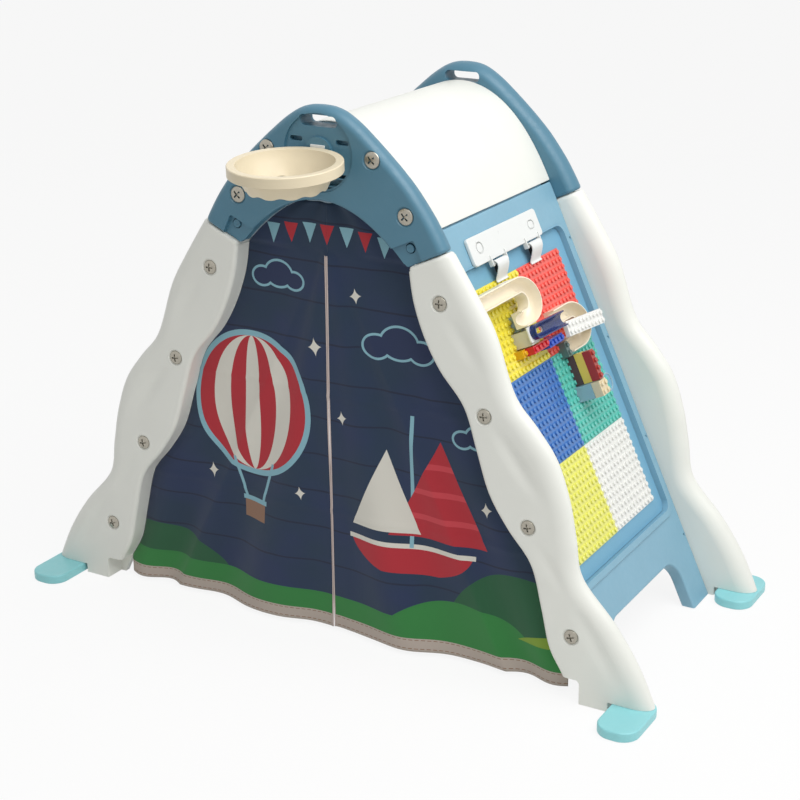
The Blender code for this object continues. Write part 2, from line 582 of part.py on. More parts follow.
def make_marble_run(frame, colours):
    level_two = PLATE_TOP + GAP + 2 * (BRICK + GAP)
    make_track("marble_track_upper", -0.262, -0.0950, 0.113, 1, -0.118, frame, colours["cream"])
    brick("brick_light_blue", -0.0840, 0.1840, 2, 2, 0, frame, colours["ice"])
    brick("brick_grey_tall", -0.0985, 0.2163, 2, 2, 0, frame, colours["grey"], 2 * BRICK + GAP)
    brick("brick_yellow_small", -0.1120, 0.2500, 2, 1, 0, frame, colours["yellow"])
    brick("brick_red", -0.0845, 0.2500, 4, 1, 1, frame, colours["red"])
    brick("brick_blue", -0.0200, 0.2560, 4, 1, 0, frame, colours["blue"], 2 * BRICK + GAP)
    brick("white_beam", 0.1045, 0.2465, 10, 2, 2, frame, colours["white"], 0.0096, -5)
    # clear channel on a tray: a gutter with a round end, which falls a little towards its open end
    place = frame_empty("channel_place", frame.matrix_world @ Matrix.Translation((CHANNEL_LEFT, -CHANNEL_S, level_two))
                        @ Matrix.Rotation(math.radians(-CHANNEL_FALL), 4, "Z"))
    half, length = CHANNEL_WIDTH / 2, CHANNEL_LENGTH
    end = [(half - half * math.sin(a), half * math.cos(a)) for a in (math.pi * k / 12 for k in range(13))]
    tunnel = prism("marble_tunnel", [(length, -half), (length, half)] + end, TRAY_THICKNESS - 0.001, CHANNEL_HEIGHT,
                   place, colours["navy"])
    lying = frame_empty("channel_axis", place.matrix_world @ Matrix.Translation((0, 0, CHANNEL_HEIGHT))
                        @ Matrix.Rotation(math.radians(90), 4, "Y"))
    boolean(tunnel, prism("channel_gutter", circle(0, 0, CHANNEL_BORE, 20), half - CHANNEL_BORE, length + 0.02, lying))
    boolean(tunnel, box_in("channel_tray", place, (-0.004, length - 0.0005), (-half - 0.0015, half - 0.0005),
                           (0.0, TRAY_THICKNESS)), "UNION")
    make_track("marble_track_lower", 0.036, 0.0980, 0.2113, 0, 0.0580, frame, colours["cream"], 0.012)
    brick("brick_slate", 0.0480, 0.2810, 1, 2, 0, frame, colours["slate"])
    for level, (name, colour) in enumerate((("brick_brown_inner", "brown"), ("brick_yellow_middle", "mustard"),
                                            ("brick_brown_outer", "brown"))):
        brick(name, 0.0640, 0.3140, 1, 4, level, frame, colours[colour])
    brick("marble_outlet", 0.0620, 0.3790, 2, 2, 0, frame, colours["ice"], 3 * BRICK)


def leg_inner_x(z):
    """How far out the inside of the leg, or of the head above it, is at a height."""
    top, square, _ = HEAD_INNER
    line = [leg_point(s, t) for s, t in smooth_path(LEG_INNER, 6)]
    if z >= line[0][1]:
        return math.sqrt(max(top - z, 0) / square)
    for (x0, z0), (x1, z1) in zip(line, line[1:]):
        if z1 <= z <= z0:
            return x0 + (x1 - x0) * (z0 - z) / (z0 - z1)
    heel_x, _, heel_z = LEG_NOTCH
    x0, z0 = line[-1]
    return x0 + (heel_x - x0) * min((z0 - z) / (z0 - heel_z), 1)


def hinge_x(z):
    return HINGE_TOP_X + (HINGE_FOOT_X - HINGE_TOP_X) * (CLOTH_TOP_Z - z) / (CLOTH_TOP_Z - CLOTH_HEM_Z)


def cloth_piece(name, left, right, low, high, columns, rows, depth, finish):
    """A sheet between two edges that depend on height, folded by a depth at each place."""
    bm = bmesh.new()
    grid = []
    for j in range(rows + 1):
        z = low + (high - low) * j / rows
        a, b = left(z), right(z)
        line = []
        for i in range(columns + 1):
            f = i / columns
            line.append(bm.verts.new((a + (b - a) * f, FRONT_Y + HINGE_Y + depth(f, z), z)))
        grid.append(line)
    for lower, upper in zip(grid, grid[1:]):
        for i in range(columns):
            bm.faces.new((lower[i], lower[i + 1], upper[i + 1], upper[i]))
    piece = mesh_object(name, bm, None, finish)
    solid = piece.modifiers.new("cloth thickness", "SOLIDIFY")
    solid.thickness, solid.offset = CLOTH_THICKNESS, 0
    return piece


def make_cloth(finish):
    low = CLOTH_HEM_Z

    def hang(z):
        """Folds deepen towards the hem."""
        return (CLOTH_TOP_Z - z) / (CLOTH_TOP_Z - low)

    def leaf_depth(f, z):
        return -0.010 * f + 0.012 * hang(z) * math.sin(2.5 * math.pi * f) * math.sin(math.pi * min(f, 0.9)) ** 0.5

    def strip_depth(f, z):
        return 0.010 * f + 0.008 * hang(z) * math.sin(2 * math.pi * f)

    def top_depth(f, z):
        return 0.004 * math.cos(6 * math.pi * f) * math.sin(math.pi * f)

    for side, label in ((1, "right"), (-1, "left")):
        cloth_piece(f"cloth_door_{label}", lambda z: side * (hinge_x(z) - 0.0015), lambda z: side * 0.002, low,
                    CLOTH_TOP_Z - 0.001, 9, 14, leaf_depth, finish)
        cloth_piece(f"cloth_side_{label}", lambda z: side * (hinge_x(z) + 0.0015),
                    lambda z: side * (leg_inner_x(z) - CLOTH_EDGE_GAP), low, CLOTH_TOP_Z - 0.001, 5, 16,
                    strip_depth, finish)
    def arch_x(z):
        return math.sqrt((HEAD_INNER[0] - z) / HEAD_INNER[1]) - CLOTH_EDGE_GAP

    cloth_piece("cloth_top", lambda z: -arch_x(z), arch_x, CLOTH_TOP_Z + 0.001, HEAD_INNER[0] - 0.010, 14, 7,
                top_depth, finish)


def main():
    for old in list(bpy.data.objects):
        bpy.data.objects.remove(old)
    blue = material("blue moulded polyethylene", "8fc3de")
    white = material("white moulded polyethylene", "eef0ea")
    light_blue = material("light blue moulded polyethylene", "86cbd0")
    steel = material("nickel plated steel", "b9b7ae", 0.35, 1.0)
    cream = material("cream polypropylene", "e9e2cf")
    cloth = material("printed polyester cloth", "1f2c4c", 0.9)
    names = {"cream": "f0e3c6", "ice": "c4dcea", "grey": "c9c6ba", "yellow": "e8b928", "red": "c8202c",
             "blue": "2450b8", "white": "f2f2ee", "navy": "26357a", "slate": "5d7178", "brown": "5a2a22",
             "mustard": "d2a53e"}
    colours = {key: material(f"{key} ABS brick", value, 0.3) for key, value in names.items()}
    plates = ((("yellow", "f2cf2c"), ("red", "e4544c")), (("blue", "2f62ae"), ("teal", "6ed0c4")),
              (("pale_yellow", "ecec84"), ("white", "f4f4f0")))
    ends, sides = make_frames()
    for end, frame in ends.items():
        make_head(end, frame, blue)
        for label in ("right", "left"):
            make_leg(end, label, frame, white)
            make_foot(end, label, frame, light_blue)
            make_button(end, label, frame, blue)
    for side, label in ((1, "right"), (-1, "left")):
        for i, (x, z) in enumerate(HEAD_SCREWS):
            make_screw(f"head_screw_{label}_{i + 1}", side * x, z, HEAD_SCREW_RADIUS, ends["front"], steel)
        for i, s in enumerate(LEG_SCREWS):
            x, z = leg_point(s, 0)
            make_screw(f"leg_screw_{label}_{i + 1}", side * x, z, LEG_SCREW_RADIUS, ends["front"], steel)
    make_roof(white)
    for label, frame in sides.items():
        make_panel(label, frame, blue)
    make_board("right", sides["right"], light_blue)
    make_plates(sides["right"], [[(name, material(f"{name} ABS plate", colour, 0.35)) for name, colour in pair]
                                 for pair in plates])
    make_clamp(sides["right"], white)
    make_hoop(ends["front"], cream, white)
    make_marble_run(sides["right"], colours)
    make_cloth(cloth)
    bpy.context.view_layer.update()


main()
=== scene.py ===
"""A toddler's tent-shaped play set: moulded end frames, a curved roof, a block wall with a marble run,
a clamp for a board, a basket hoop and a printed cloth front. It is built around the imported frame."""
import math

import bmesh
import bpy
from mathutils import Matrix, Vector


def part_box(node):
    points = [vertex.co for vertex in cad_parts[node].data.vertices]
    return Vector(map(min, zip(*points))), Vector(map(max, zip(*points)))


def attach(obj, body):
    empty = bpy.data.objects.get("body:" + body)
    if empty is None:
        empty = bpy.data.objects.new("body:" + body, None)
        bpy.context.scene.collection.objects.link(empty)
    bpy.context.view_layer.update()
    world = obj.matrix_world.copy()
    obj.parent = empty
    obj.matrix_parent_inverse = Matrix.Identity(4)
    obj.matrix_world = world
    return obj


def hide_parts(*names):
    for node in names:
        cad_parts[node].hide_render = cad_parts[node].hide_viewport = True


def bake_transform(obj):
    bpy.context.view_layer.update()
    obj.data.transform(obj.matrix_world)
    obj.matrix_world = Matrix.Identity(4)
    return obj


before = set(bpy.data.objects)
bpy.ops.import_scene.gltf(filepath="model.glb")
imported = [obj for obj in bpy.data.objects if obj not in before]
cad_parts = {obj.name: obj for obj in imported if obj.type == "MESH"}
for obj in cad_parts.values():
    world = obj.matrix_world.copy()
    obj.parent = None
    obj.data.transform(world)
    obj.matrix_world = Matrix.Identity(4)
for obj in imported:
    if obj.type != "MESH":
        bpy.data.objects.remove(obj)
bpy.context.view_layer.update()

# The end frames: four pieces of polyethylene stand each way round. Everything is placed from the two
# faces of the heads, and each end has a place with X across, Y up and Z out of its face.
FRONT_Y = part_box("front_head")[0].y
REAR_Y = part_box("rear_head")[1].y
MIDDLE_Y = (FRONT_Y + REAR_Y) / 2
UPRIGHT = Matrix.Rotation(math.radians(90), 4, "X")
HALF_TURN = Matrix.Rotation(math.pi, 4, "Z")
ENDS = {"front": Matrix.Translation((0, FRONT_Y, 0)) @ UPRIGHT,
        "rear": Matrix.Translation((0, REAR_Y, 0)) @ HALF_TURN @ UPRIGHT}


def srgb(text):
    """Six hexadecimal digits as a linear colour."""
    out = []
    for i in (0, 2, 4):
        c = int(text[i:i + 2], 16) / 255
        out.append(c / 12.92 if c <= 0.04045 else ((c + 0.055) / 1.055) ** 2.4)
    return (*out, 1.0)


def wire(tree, node, sockets):
    """Each socket is set to a value, or linked when it is given another node's output."""
    for socket, value in sockets.items():
        if isinstance(value, bpy.types.NodeSocket):
            tree.links.new(value, node.inputs[socket])
        else:
            node.inputs[socket].default_value = value


def add(tree, kind, sockets=None, **settings):
    """Adds a node with its settings and its sockets."""
    node = tree.nodes.new(kind)
    for key, value in settings.items():
        setattr(node, key, value)
    wire(tree, node, sockets or {})
    return node


def started(name):
    """A new material with its shader, and where a point is on the piece in metres."""
    made = bpy.data.materials.new(name)
    made.use_nodes = True
    tree = made.node_tree
    return made, tree, tree.nodes["Principled BSDF"], add(tree, "ShaderNodeTexCoord").outputs["Object"]


def moulded_polyethylene(name, colour, roughness=0.42, scuff=0.06):
    """Blow-moulded high-density polyethylene: waxy, a little cloudy, with the fine grain of a
    blasted mould and faint scuffs. The 0.8 mm grain is drawn at 2 mm so that it shows."""
    made, tree, shader, place = started(name)
    cloud = add(tree, "ShaderNodeTexNoise", {"Vector": place, "Scale": 1 / 0.070, "Detail": 3.0})
    darker = [c * (1 - scuff * 0.6) for c in srgb(colour)[:3]]
    paler = [min(c * (1 + scuff) + 0.006, 1) for c in srgb(colour)[:3]]
    tint = add(tree, "ShaderNodeMix", {"Factor": cloud.outputs["Fac"], 6: (*darker, 1), 7: (*paler, 1)},
               data_type="RGBA")
    streak = add(tree, "ShaderNodeTexNoise", {"Vector": place, "Scale": 1 / 0.012, "Detail": 4.0})
    polish = add(tree, "ShaderNodeMapRange", {"Value": streak.outputs["Fac"], "From Min": 0.3, "From Max": 0.7,
                                              "To Min": roughness - 0.07, "To Max": roughness + 0.09})
    grain = add(tree, "ShaderNodeTexNoise", {"Vector": place, "Scale": 1 / 0.002, "Detail": 2.0})
    bump = add(tree, "ShaderNodeBump", {"Height": grain.outputs["Fac"], "Strength": 0.10, "Distance": 0.0006})
    wire(tree, shader, {"IOR": 1.54, "Base Color": tint.outputs[2], "Roughness": polish.outputs["Result"],
                        "Normal": bump.outputs["Normal"]})
    return made


# Heads: blue polyethylene arches, blow moulded in one piece, with a shallow disc for the hoop's plug, a
# slot for a hand and a pocket with a release button at each end. The mould leaves every edge rounded.
# Painted shade: the heads' blue is the panels' plastic set darker, for the shade on their faces.
SHADE_DARKENED_BLUE = moulded_polyethylene("blue blow-moulded polyethylene", "4a7a90")
HEAD_DEPTH, LIP_DEPTH = 0.074, 0.0493                    # the lip is outside the roof and the panels
HEAD_BULGE = (0.016, 0.020, 0.020)                       # rounding at the front and the back, and its middle
HEAD_OUTER = ((0, 1.104), (0.025, 1.102), (0.050, 1.0935), (0.080, 1.0745), (0.110, 1.050), (0.140, 1.0235),
              (0.170, 0.995), (0.200, 0.963), (0.235, 0.917), (0.258, 0.880), (0.271, 0.8556))
ARCH_TOP, ARCH_CURVE, ARCH_END = 0.9236, 3.1, 0.187      # the arch's height is top - curve * x^2
ARCH_EDGE, HEAD_END_ROUND = 0.0065, 0.006                # rounding of the arch's edge and the lower ends
DISC_Z, DISC_RADIUS, DISC_DEPTH, BOSS_RADIUS = 1.015, 0.0765, 0.005, 0.030
BASIN_RADIUS, BASIN_DEPTH, BASIN_START, BASIN_SWEEP = DISC_RADIUS - 0.006, 0.024, -32.0, 116.0
BASIN_RIBS = ((0.9690, 0.0570), (0.9520, 0.0345))        # height of each rib and half its length
SLOT_X, SLOT_HALF, SLOT_LOW, SLOT_HIGH, SLOT_CORNER = 0.051, 0.014, 1.0335, 1.0430, 0.0046
HANDLE_Z, HANDLE_LENGTH, HANDLE_HEIGHT = 1.0755, 0.083, 0.022
HEAD_SCREWS = ((0.117, 1.013), (0.188, 0.914))
HEAD_SCREW_RADIUS, LEG_SCREW_RADIUS, GAP = 0.0165, 0.0145, 0.0003
POCKET = (-0.032, 0.030, 0.001, 0.092, 0.0092)           # low and high s, low and high t, depth
POCKET_CORNER, BORE_DEPTH, BORE_GAP = 0.005, 0.0225, 0.0018
CLEAR = 0.02                                             # how far a cutter stands out of what it cuts
BUTTON_S, BUTTON_T, BUTTON_RADIUS = -0.0196, 0.0184, 0.0085
LEG_SLOPE = math.radians(65)
JOINT_X, JOINT_Z = 0.221, 0.844


def leg_point(s, t):
    """A point of the face from its place down the slope of the right leg and inwards across it."""
    return (JOINT_X + s * math.cos(LEG_SLOPE) - t * math.sin(LEG_SLOPE),
            JOINT_Z - s * math.sin(LEG_SLOPE) - t * math.cos(LEG_SLOPE))


def smooth_path(points, steps):
    """A curve through the points, with the given number of steps from each to the next."""
    out = []
    for i in range(len(points) - 1):
        a, b = points[max(i - 1, 0)], points[i]
        c, d = points[i + 1], points[min(i + 2, len(points) - 1)]
        for k in range(steps):
            f = k / steps
            out.append(tuple(0.5 * (2 * q + (r - p) * f + (2 * p - 5 * q + 4 * r - s) * f ** 2
                                    + (3 * q - p - 3 * r + s) * f ** 3)
                             for p, q, r, s in zip(a, b, c, d)))
    return out + [tuple(points[-1])]


def fan(angle, steps):
    """Angles from nothing to the one given, in equal steps."""
    return [angle * k / steps for k in range(steps + 1)]


def mirrored(outline, side):
    return [(side * x, y) for x, y in outline]


def bulge(shape, steps):
    """How a rounded outer edge runs from the face to the back of the lip, as (inset, height) points."""
    front, back, middle = shape
    turn = fan(math.pi / 2, steps)
    ahead = [(front * (1 - math.sin(a)), -middle * (1 - math.cos(a))) for a in turn]
    behind = [(back * (1 - math.cos(a)), -middle - (LIP_DEPTH - middle) * math.sin(a)) for a in turn]
    return ahead + behind[1:]


def round_box(left, right, low, high, radius, steps=6):
    """The outline of a rectangle with round corners."""
    out = []
    for x, y, start in ((right, high, 0), (left, high, 90), (left, low, 180), (right, low, 270)):
        cx = x - radius if start in (0, 270) else x + radius
        cy = y - radius if start in (0, 90) else y + radius
        for k in range(steps + 1):
            a = math.radians(start + 90 * k / steps)
            out.append((cx + radius * math.cos(a), cy + radius * math.sin(a)))
    return out


def sharp_box(left, right, low, high):
    return [(left, low), (right, low), (right, high), (left, high)]


def skin(bm, rings, closed=False):
    """Faces from each ring of vertices to the next. A tip is a ring of one vertex, repeated."""
    for ring, other in zip(rings, rings[1:] + rings[:1] if closed else rings[1:]):
        for i in range(len(ring)):
            j = (i + 1) % len(ring)
            corners = dict.fromkeys((ring[i], ring[j], other[j], other[i]))
            if len(corners) > 2:
                bm.faces.new(list(corners))


def loft(name, rows, place):
    """A closed section carried from row to row, each row a list of (x, y, z)."""
    bm = bmesh.new()
    rings = [[bm.verts.new(point) for point in row] for row in rows]
    skin(bm, rings)
    bm.faces.new(rings[0])
    bm.faces.new(rings[-1])
    return piece_of(name, bm, place)


def rounded_end(row, onwards, radius, steps=4):
    """Rows that close a section off with a round edge: each is drawn in a little more and lies further on."""
    onwards = Vector(onwards).normalized()
    points = [Vector(point) for point in row]
    centre = sum(points, Vector()) / len(points)
    walls = [(b - a).cross(onwards).normalized() for a, b in zip(points, points[1:] + points[:1])]
    outwards = 1 if sum((p - centre).dot(n) for p, n in zip(points, walls)) > 0 else -1
    rows = []
    for a in fan(math.pi / 2, steps):
        drawn, moved = outwards * radius * (1 - math.cos(a)), radius * (math.sin(a) - 1)
        ring = []
        for i, point in enumerate(points):
            corner = (walls[i - 1] + walls[i]) / (1 + walls[i - 1].dot(walls[i]))
            ring.append(tuple(point - corner * drawn + onwards * moved))
        rows.append(ring)
    return rows


def circle(x, y, radius, sides=32):
    turn = [2 * math.pi * i / sides for i in range(sides)]
    return [(x + radius * math.cos(a), y + radius * math.sin(a)) for a in turn]


def piece_of(name, bm, place):
    bmesh.ops.recalc_face_normals(bm, faces=bm.faces)
    mesh = bpy.data.meshes.new(name)
    bm.to_mesh(mesh)
    bm.free()
    made = bpy.data.objects.new(name, mesh)
    bpy.context.scene.collection.objects.link(made)
    made.matrix_world = place
    return made


def solid(name, outline, low, high, place):
    """An outline in the place's XY plane, made solid from low to high along its Z."""
    bm = bmesh.new()
    face = bm.faces.new([bm.verts.new((x, y, low)) for x, y in outline])
    grown = bmesh.ops.extrude_face_region(bm, geom=[face])["geom"]
    top = [v for v in grown if isinstance(v, bmesh.types.BMVert)]
    bmesh.ops.translate(bm, verts=top, vec=(0, 0, high - low))
    return piece_of(name, bm, place)


def turned(name, section, sides, place, shape=None):
    """A section of (height, radius) points turned about the place's Z; shape may move a point by its angle."""
    bm = bmesh.new()
    rings = []
    for height, radius in section:
        if radius == 0:
            rings.append([bm.verts.new((0, 0, height))] * sides)
            continue
        ring = []
        for i in range(sides):
            a = 2 * math.pi * i / sides
            h = height if shape is None else shape(height, a)
            ring.append(bm.verts.new((radius * math.cos(a), radius * math.sin(a), h)))
        rings.append(ring)
    skin(bm, rings, closed=all(radius for _, radius in section))
    return piece_of(name, bm, place)


def round_edges(piece, width, segments=3, angle=40):
    step = piece.modifiers.new("round edges", "BEVEL")
    step.width, step.segments = width, segments
    step.limit_method, step.angle_limit = "ANGLE", math.radians(angle)
    step.harden_normals = False


def cut(piece, cutter, operation="DIFFERENCE"):
    step = piece.modifiers.new("cut", "BOOLEAN")
    step.operation, step.object, step.solver = operation, cutter, "EXACT"


def finished(piece, material, nodes=(), body="frame", angle=35):
    """Applies the modifiers, takes the cutters away, sets the shading, and puts the piece on its body."""
    cutters = [m.object for m in piece.modifiers if m.type == "BOOLEAN"]
    bpy.context.view_layer.update()
    shaped = piece.evaluated_get(bpy.context.evaluated_depsgraph_get())
    mesh = bpy.data.meshes.new_from_object(shaped)
    piece.modifiers.clear()
    piece.data = mesh
    mesh.materials.clear()
    mesh.materials.append(material)
    for cutter in cutters:
        bpy.data.objects.remove(cutter)
    mesh.shade_smooth()
    mesh.set_sharp_from_angle(angle=math.radians(angle))
    even = piece.modifiers.new("even shading", "WEIGHTED_NORMAL")
    even.keep_sharp = True
    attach(piece, body)
    if nodes:
        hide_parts(*nodes)


ROOF_TOP, ROOF_THICKNESS, SEAM_S, PANEL_RISE, PANEL_THICKNESS = 1.068, 0.008, -0.031, 0.006, 0.027
PANEL_SEAT = PANEL_THICKNESS - PANEL_RISE + GAP          # t of the panel's inner face


def roof_lines(count):
    """The roof's outer and inner lines from left to right: it meets the slope of the panels at a seam."""
    x_seam = JOINT_X + SEAM_S * math.cos(LEG_SLOPE) + PANEL_RISE * math.sin(LEG_SLOPE)
    drop = ROOF_TOP - (JOINT_Z - SEAM_S * math.sin(LEG_SLOPE) + PANEL_RISE * math.cos(LEG_SLOPE))
    fourth = (x_seam * math.tan(LEG_SLOPE) / 2 - drop) / x_seam ** 4
    square = (drop - fourth * x_seam ** 4) / x_seam ** 2
    outer, inner = [], []
    for x in (x_seam * (2 * k / count - 1) for k in range(count + 1)):
        z = ROOF_TOP - square * x ** 2 - fourth * x ** 4
        slope = math.atan(2 * square * x + 4 * fourth * x ** 3)
        outer.append((x, z))
        inner.append((x - ROOF_THICKNESS * math.sin(slope), z - ROOF_THICKNESS * math.cos(slope)))
    return outer, inner


def screw_seat(place, radius):
    """The cutter of a counterbore with a sloped wall, which catches the light round the screw."""
    wall = ((0.01, radius + 0.0045), (0, radius + 0.0035), (-0.003, radius + 0.0008), (-0.003, 0))
    return turned("seat", ((0.01, 0),) + wall, 40, place)


def make_head(end):
    place = ENDS[end]
    right = smooth_path(HEAD_OUTER, 6)
    outer = mirrored(right, -1)[::-1] + right[1:]
    rim = [(ARCH_EDGE * (1 - math.cos(a)), -ARCH_EDGE * (1 - math.sin(a))) for a in fan(math.pi / 2, 6)]
    rows = []
    for i, (x, y) in enumerate(outer):
        before, after = outer[max(i - 1, 0)], outer[min(i + 1, len(outer) - 1)]
        along = Vector((after[0] - before[0], after[1] - before[1])).normalized()
        inwards = Vector((along.y, -along.x))
        ix = ARCH_END * (2 * i / (len(outer) - 1) - 1)
        iy = ARCH_TOP - ARCH_CURVE * ix ** 2
        into = Vector((2 * ARCH_CURVE * ix, 1)).normalized()
        if i in (0, len(outer) - 1):
            inwards = Vector((ix - x, iy - y)).normalized()
            into = -inwards
        edge = [(x + inwards.x * a, y + inwards.y * a, h) for a, h in bulge(HEAD_BULGE, 8)]
        rows.append([(ix, iy, -LIP_DEPTH)] + [(ix + into.x * a, iy + into.y * a, h) for a, h in rim] + edge)
    for last, towards in ((0, -1), (-1, 1)):
        across_end = Vector(rows[last][len(rim) + 8]) - Vector(rows[last][1])
        closing = rounded_end(rows[last], across_end.cross(Vector((0, 0, towards))), HEAD_END_ROUND)
        rows = closing[::-1] + rows[2:] if last == 0 else rows[:-2] + closing
    head = loft(f"{end}_head_moulding", rows, place)
    flat = head.modifiers.new("one face where it is flat", "DECIMATE")
    flat.decimate_type, flat.angle_limit = "DISSOLVE", math.radians(0.3)
    hook = [leg_point(SEAM_S, PANEL_SEAT), leg_point(0.0, PANEL_SEAT)]
    under = [(x, z - GAP) for x, z in roof_lines(40)[1]]
    arch = [(x, ARCH_TOP - ARCH_CURVE * x ** 2) for x in (ARCH_END * (1 - k / 20) for k in range(41))]
    flange = mirrored(hook, -1)[::-1] + under[3:-3] + hook + arch
    cut(head, solid("flange", flange, -HEAD_DEPTH, -LIP_DEPTH + 0.004, place), "UNION")
    centre = place @ Matrix.Translation((0, DISC_Z, 0))
    cut(head, turned("disc", ((0.01, BOSS_RADIUS), (0.01, DISC_RADIUS), (-DISC_DEPTH, DISC_RADIUS - 0.001),
                              (-DISC_DEPTH, BOSS_RADIUS + 0.001)), 72, centre))
    low_arc = [math.radians(BASIN_START - BASIN_SWEEP * k / 24) for k in range(25)]
    basin = [(BASIN_RADIUS * math.cos(a), DISC_Z + BASIN_RADIUS * math.sin(a)) for a in low_arc]
    cut(head, solid("basin", basin, -BASIN_DEPTH, CLEAR, place))
    grip = round_box(-HANDLE_LENGTH / 2, HANDLE_LENGTH / 2, HANDLE_Z - HANDLE_HEIGHT / 2,
                     HANDLE_Z + HANDLE_HEIGHT / 2, HANDLE_HEIGHT / 2 - 0.001)
    cut(head, solid("grip", grip, -0.1, CLEAR, place))
    for side in (1, -1):
        slot = round_box(side * SLOT_X - SLOT_HALF, side * SLOT_X + SLOT_HALF, SLOT_LOW, SLOT_HIGH, SLOT_CORNER)
        cut(head, solid("slot", slot, -DISC_DEPTH - 0.012, CLEAR, place))
        low_s, high_s, low_t, high_t, depth = POCKET
        corners = [leg_point(low_s + POCKET_CORNER * (1 - math.sin(a)),
                             low_t + POCKET_CORNER * (1 - math.cos(a))) for a in fan(math.pi / 2, 6)]
        corners += [leg_point(low_s, high_t), leg_point(high_s, high_t), leg_point(high_s, low_t)]
        cut(head, solid("pocket", mirrored(corners, side), -depth, CLEAR, place))
        x, y = leg_point(BUTTON_S, BUTTON_T)
        cut(head, solid("bore", circle(side * x, y, BUTTON_RADIUS + BORE_GAP), -BORE_DEPTH, CLEAR, place))
        for sx, sz in HEAD_SCREWS:
            cut(head, screw_seat(place @ Matrix.Translation((side * sx, sz, 0)), HEAD_SCREW_RADIUS))
    round_edges(head, 0.0010, 2, 50)
    for z, half in BASIN_RIBS:
        rib = sharp_box(-half, half, z - 0.001, z + 0.001)
        cut(head, solid("rib", rib, -BASIN_DEPTH - 0.002, -DISC_DEPTH - 0.001, place), "UNION")
    finished(head, SHADE_DARKENED_BLUE, [f"{end}_head"])


for end in ENDS:
    make_head(end)

# Release buttons: the same blue plastic, each in its bore with a dark ring of clearance around it. The
# pressed face is slightly dished, and the rim is rounded by the mould.
HANDS = ((1, "right"), (-1, "left"))
for end in ENDS:
    for side, label in HANDS:
        x, y = leg_point(BUTTON_S, BUTTON_T)
        top = 0.003 - POCKET[4]
        dish = [(top - 0.0008, 0), (top - 0.0006, 0.0030), (top, 0.0062), (top, BUTTON_RADIUS - 0.0012),
                (top - 0.0004, BUTTON_RADIUS - 0.0004), (top - 0.0012, BUTTON_RADIUS),
                (top - 0.011, BUTTON_RADIUS), (top - 0.011, 0)]
        button = turned(f"{end}_{label}_release_button", dish, 32,
                        ENDS[end] @ Matrix.Translation((side * x, y, 0)))
        finished(button, SHADE_DARKENED_BLUE, [f"{end}_{label}_button"], f"button_{end}_{label}")

# Legs: white polyethylene, blow moulded, with three bulges down the outside. Each has a flange on its
# inner side that the side panel lies against, soft hollows beside the screws and a stepped heel.
WHITE = moulded_polyethylene("white blow-moulded polyethylene", "e9eae3", 0.40, 0.03)
LEG_OUTER = ((0.0125, -0.0555), (0.116, -0.070), (0.190, -0.076), (0.306, -0.066), (0.380, -0.086),
             (0.450, -0.100), (0.530, -0.093), (0.603, -0.076), (0.680, -0.058), (0.783, -0.088),
             (0.880, -0.103), (0.985, -0.102))
LEG_INNER = ((0.0125, 0.0370), (0.075, 0.055), (0.145, 0.062), (0.215, 0.057), (0.295, 0.037),
             (0.380, 0.046), (0.468, 0.056), (0.545, 0.046), (0.623, 0.027), (0.710, 0.041),
             (0.790, 0.057), (0.852, 0.052), (0.920, 0.050), (0.985, 0.050))
LEG_SCREWS = (0.096, 0.3237, 0.5513, 0.779)
LEG_DEPTH, LEG_ROUND, LEG_BULGE = 0.060, 0.009, (0.034, 0.036, 0.022)
HOLLOWS = ((0.130, -0.008, 0.235, -0.028, 0.0030), (0.362, -0.016, 0.500, -0.046, 0.0065),
           (0.590, -0.006, 0.690, -0.022, 0.0030), (0.730, -0.034, 0.890, -0.058, 0.0055))
HOLLOW_WIDTH, LEG_ROW, LEG_TOP_ROUND = 0.013, 0.008, 0.007
PLUG = (-0.008, 0.030, -0.034, 0.026)                    # low and high s, low and high t, in the head
HEEL = ((0.40, -0.1), (0.573, -0.1), (0.571, 0.044), (0.566, 0.050), (0.40, 0.050))
FOOT_X, FOOT_WIDTH, FOOT_HEIGHT = 0.681, 0.084, 0.020


def across(points, s):
    """The t of a curve drawn as (s, t) points, at one s."""
    for (s0, t0), (s1, t1) in zip(points, points[1:]):
        if s0 <= s <= s1:
            return t0 + (t1 - t0) * (s - s0) / (s1 - s0)
    return points[-1][1]


def hollow_depth(s, t):
    """How deep the soft hollows of the leg's face are: each runs along a line and fades at its ends."""
    depth = 0
    for s0, t0, s1, t1, deepest in HOLLOWS:
        f = (s - s0) / (s1 - s0)
        if -0.25 < f < 1.25:
            line = t0 + (t1 - t0) * f
            fade = math.sin(math.pi * (f + 0.25) / 1.5) ** 2
            depth += deepest * fade * math.exp(-((t - line) / HOLLOW_WIDTH) ** 2)
    return depth


def leg_section(s, inner, outer):
    """The leg's section at one place down the slope, as (t, depth) points round it."""
    t_in, t_out, r = across(inner, s), across(outer, s), LEG_ROUND
    line = [(t_in, -LEG_DEPTH + 0.002), (t_in, -r)]
    line += [(t_in - r + r * math.cos(a), -r + r * math.sin(a)) for a in fan(math.pi / 2, 5)[1:]]
    edge = bulge(LEG_BULGE, 12)
    start, end = t_in - r, t_out + edge[0][0]
    line += [(start + (end - start) * k / 14, 0) for k in range(1, 14)]
    line += [(t_out + a, h) for a, h in edge]
    line += [(PANEL_SEAT, -LIP_DEPTH), (PANEL_SEAT, -LEG_DEPTH), (t_in - 0.002, -LEG_DEPTH)]
    return [(t, z - hollow_depth(s, t) * max(0, 1 + z / 0.012)) for t, z in line]


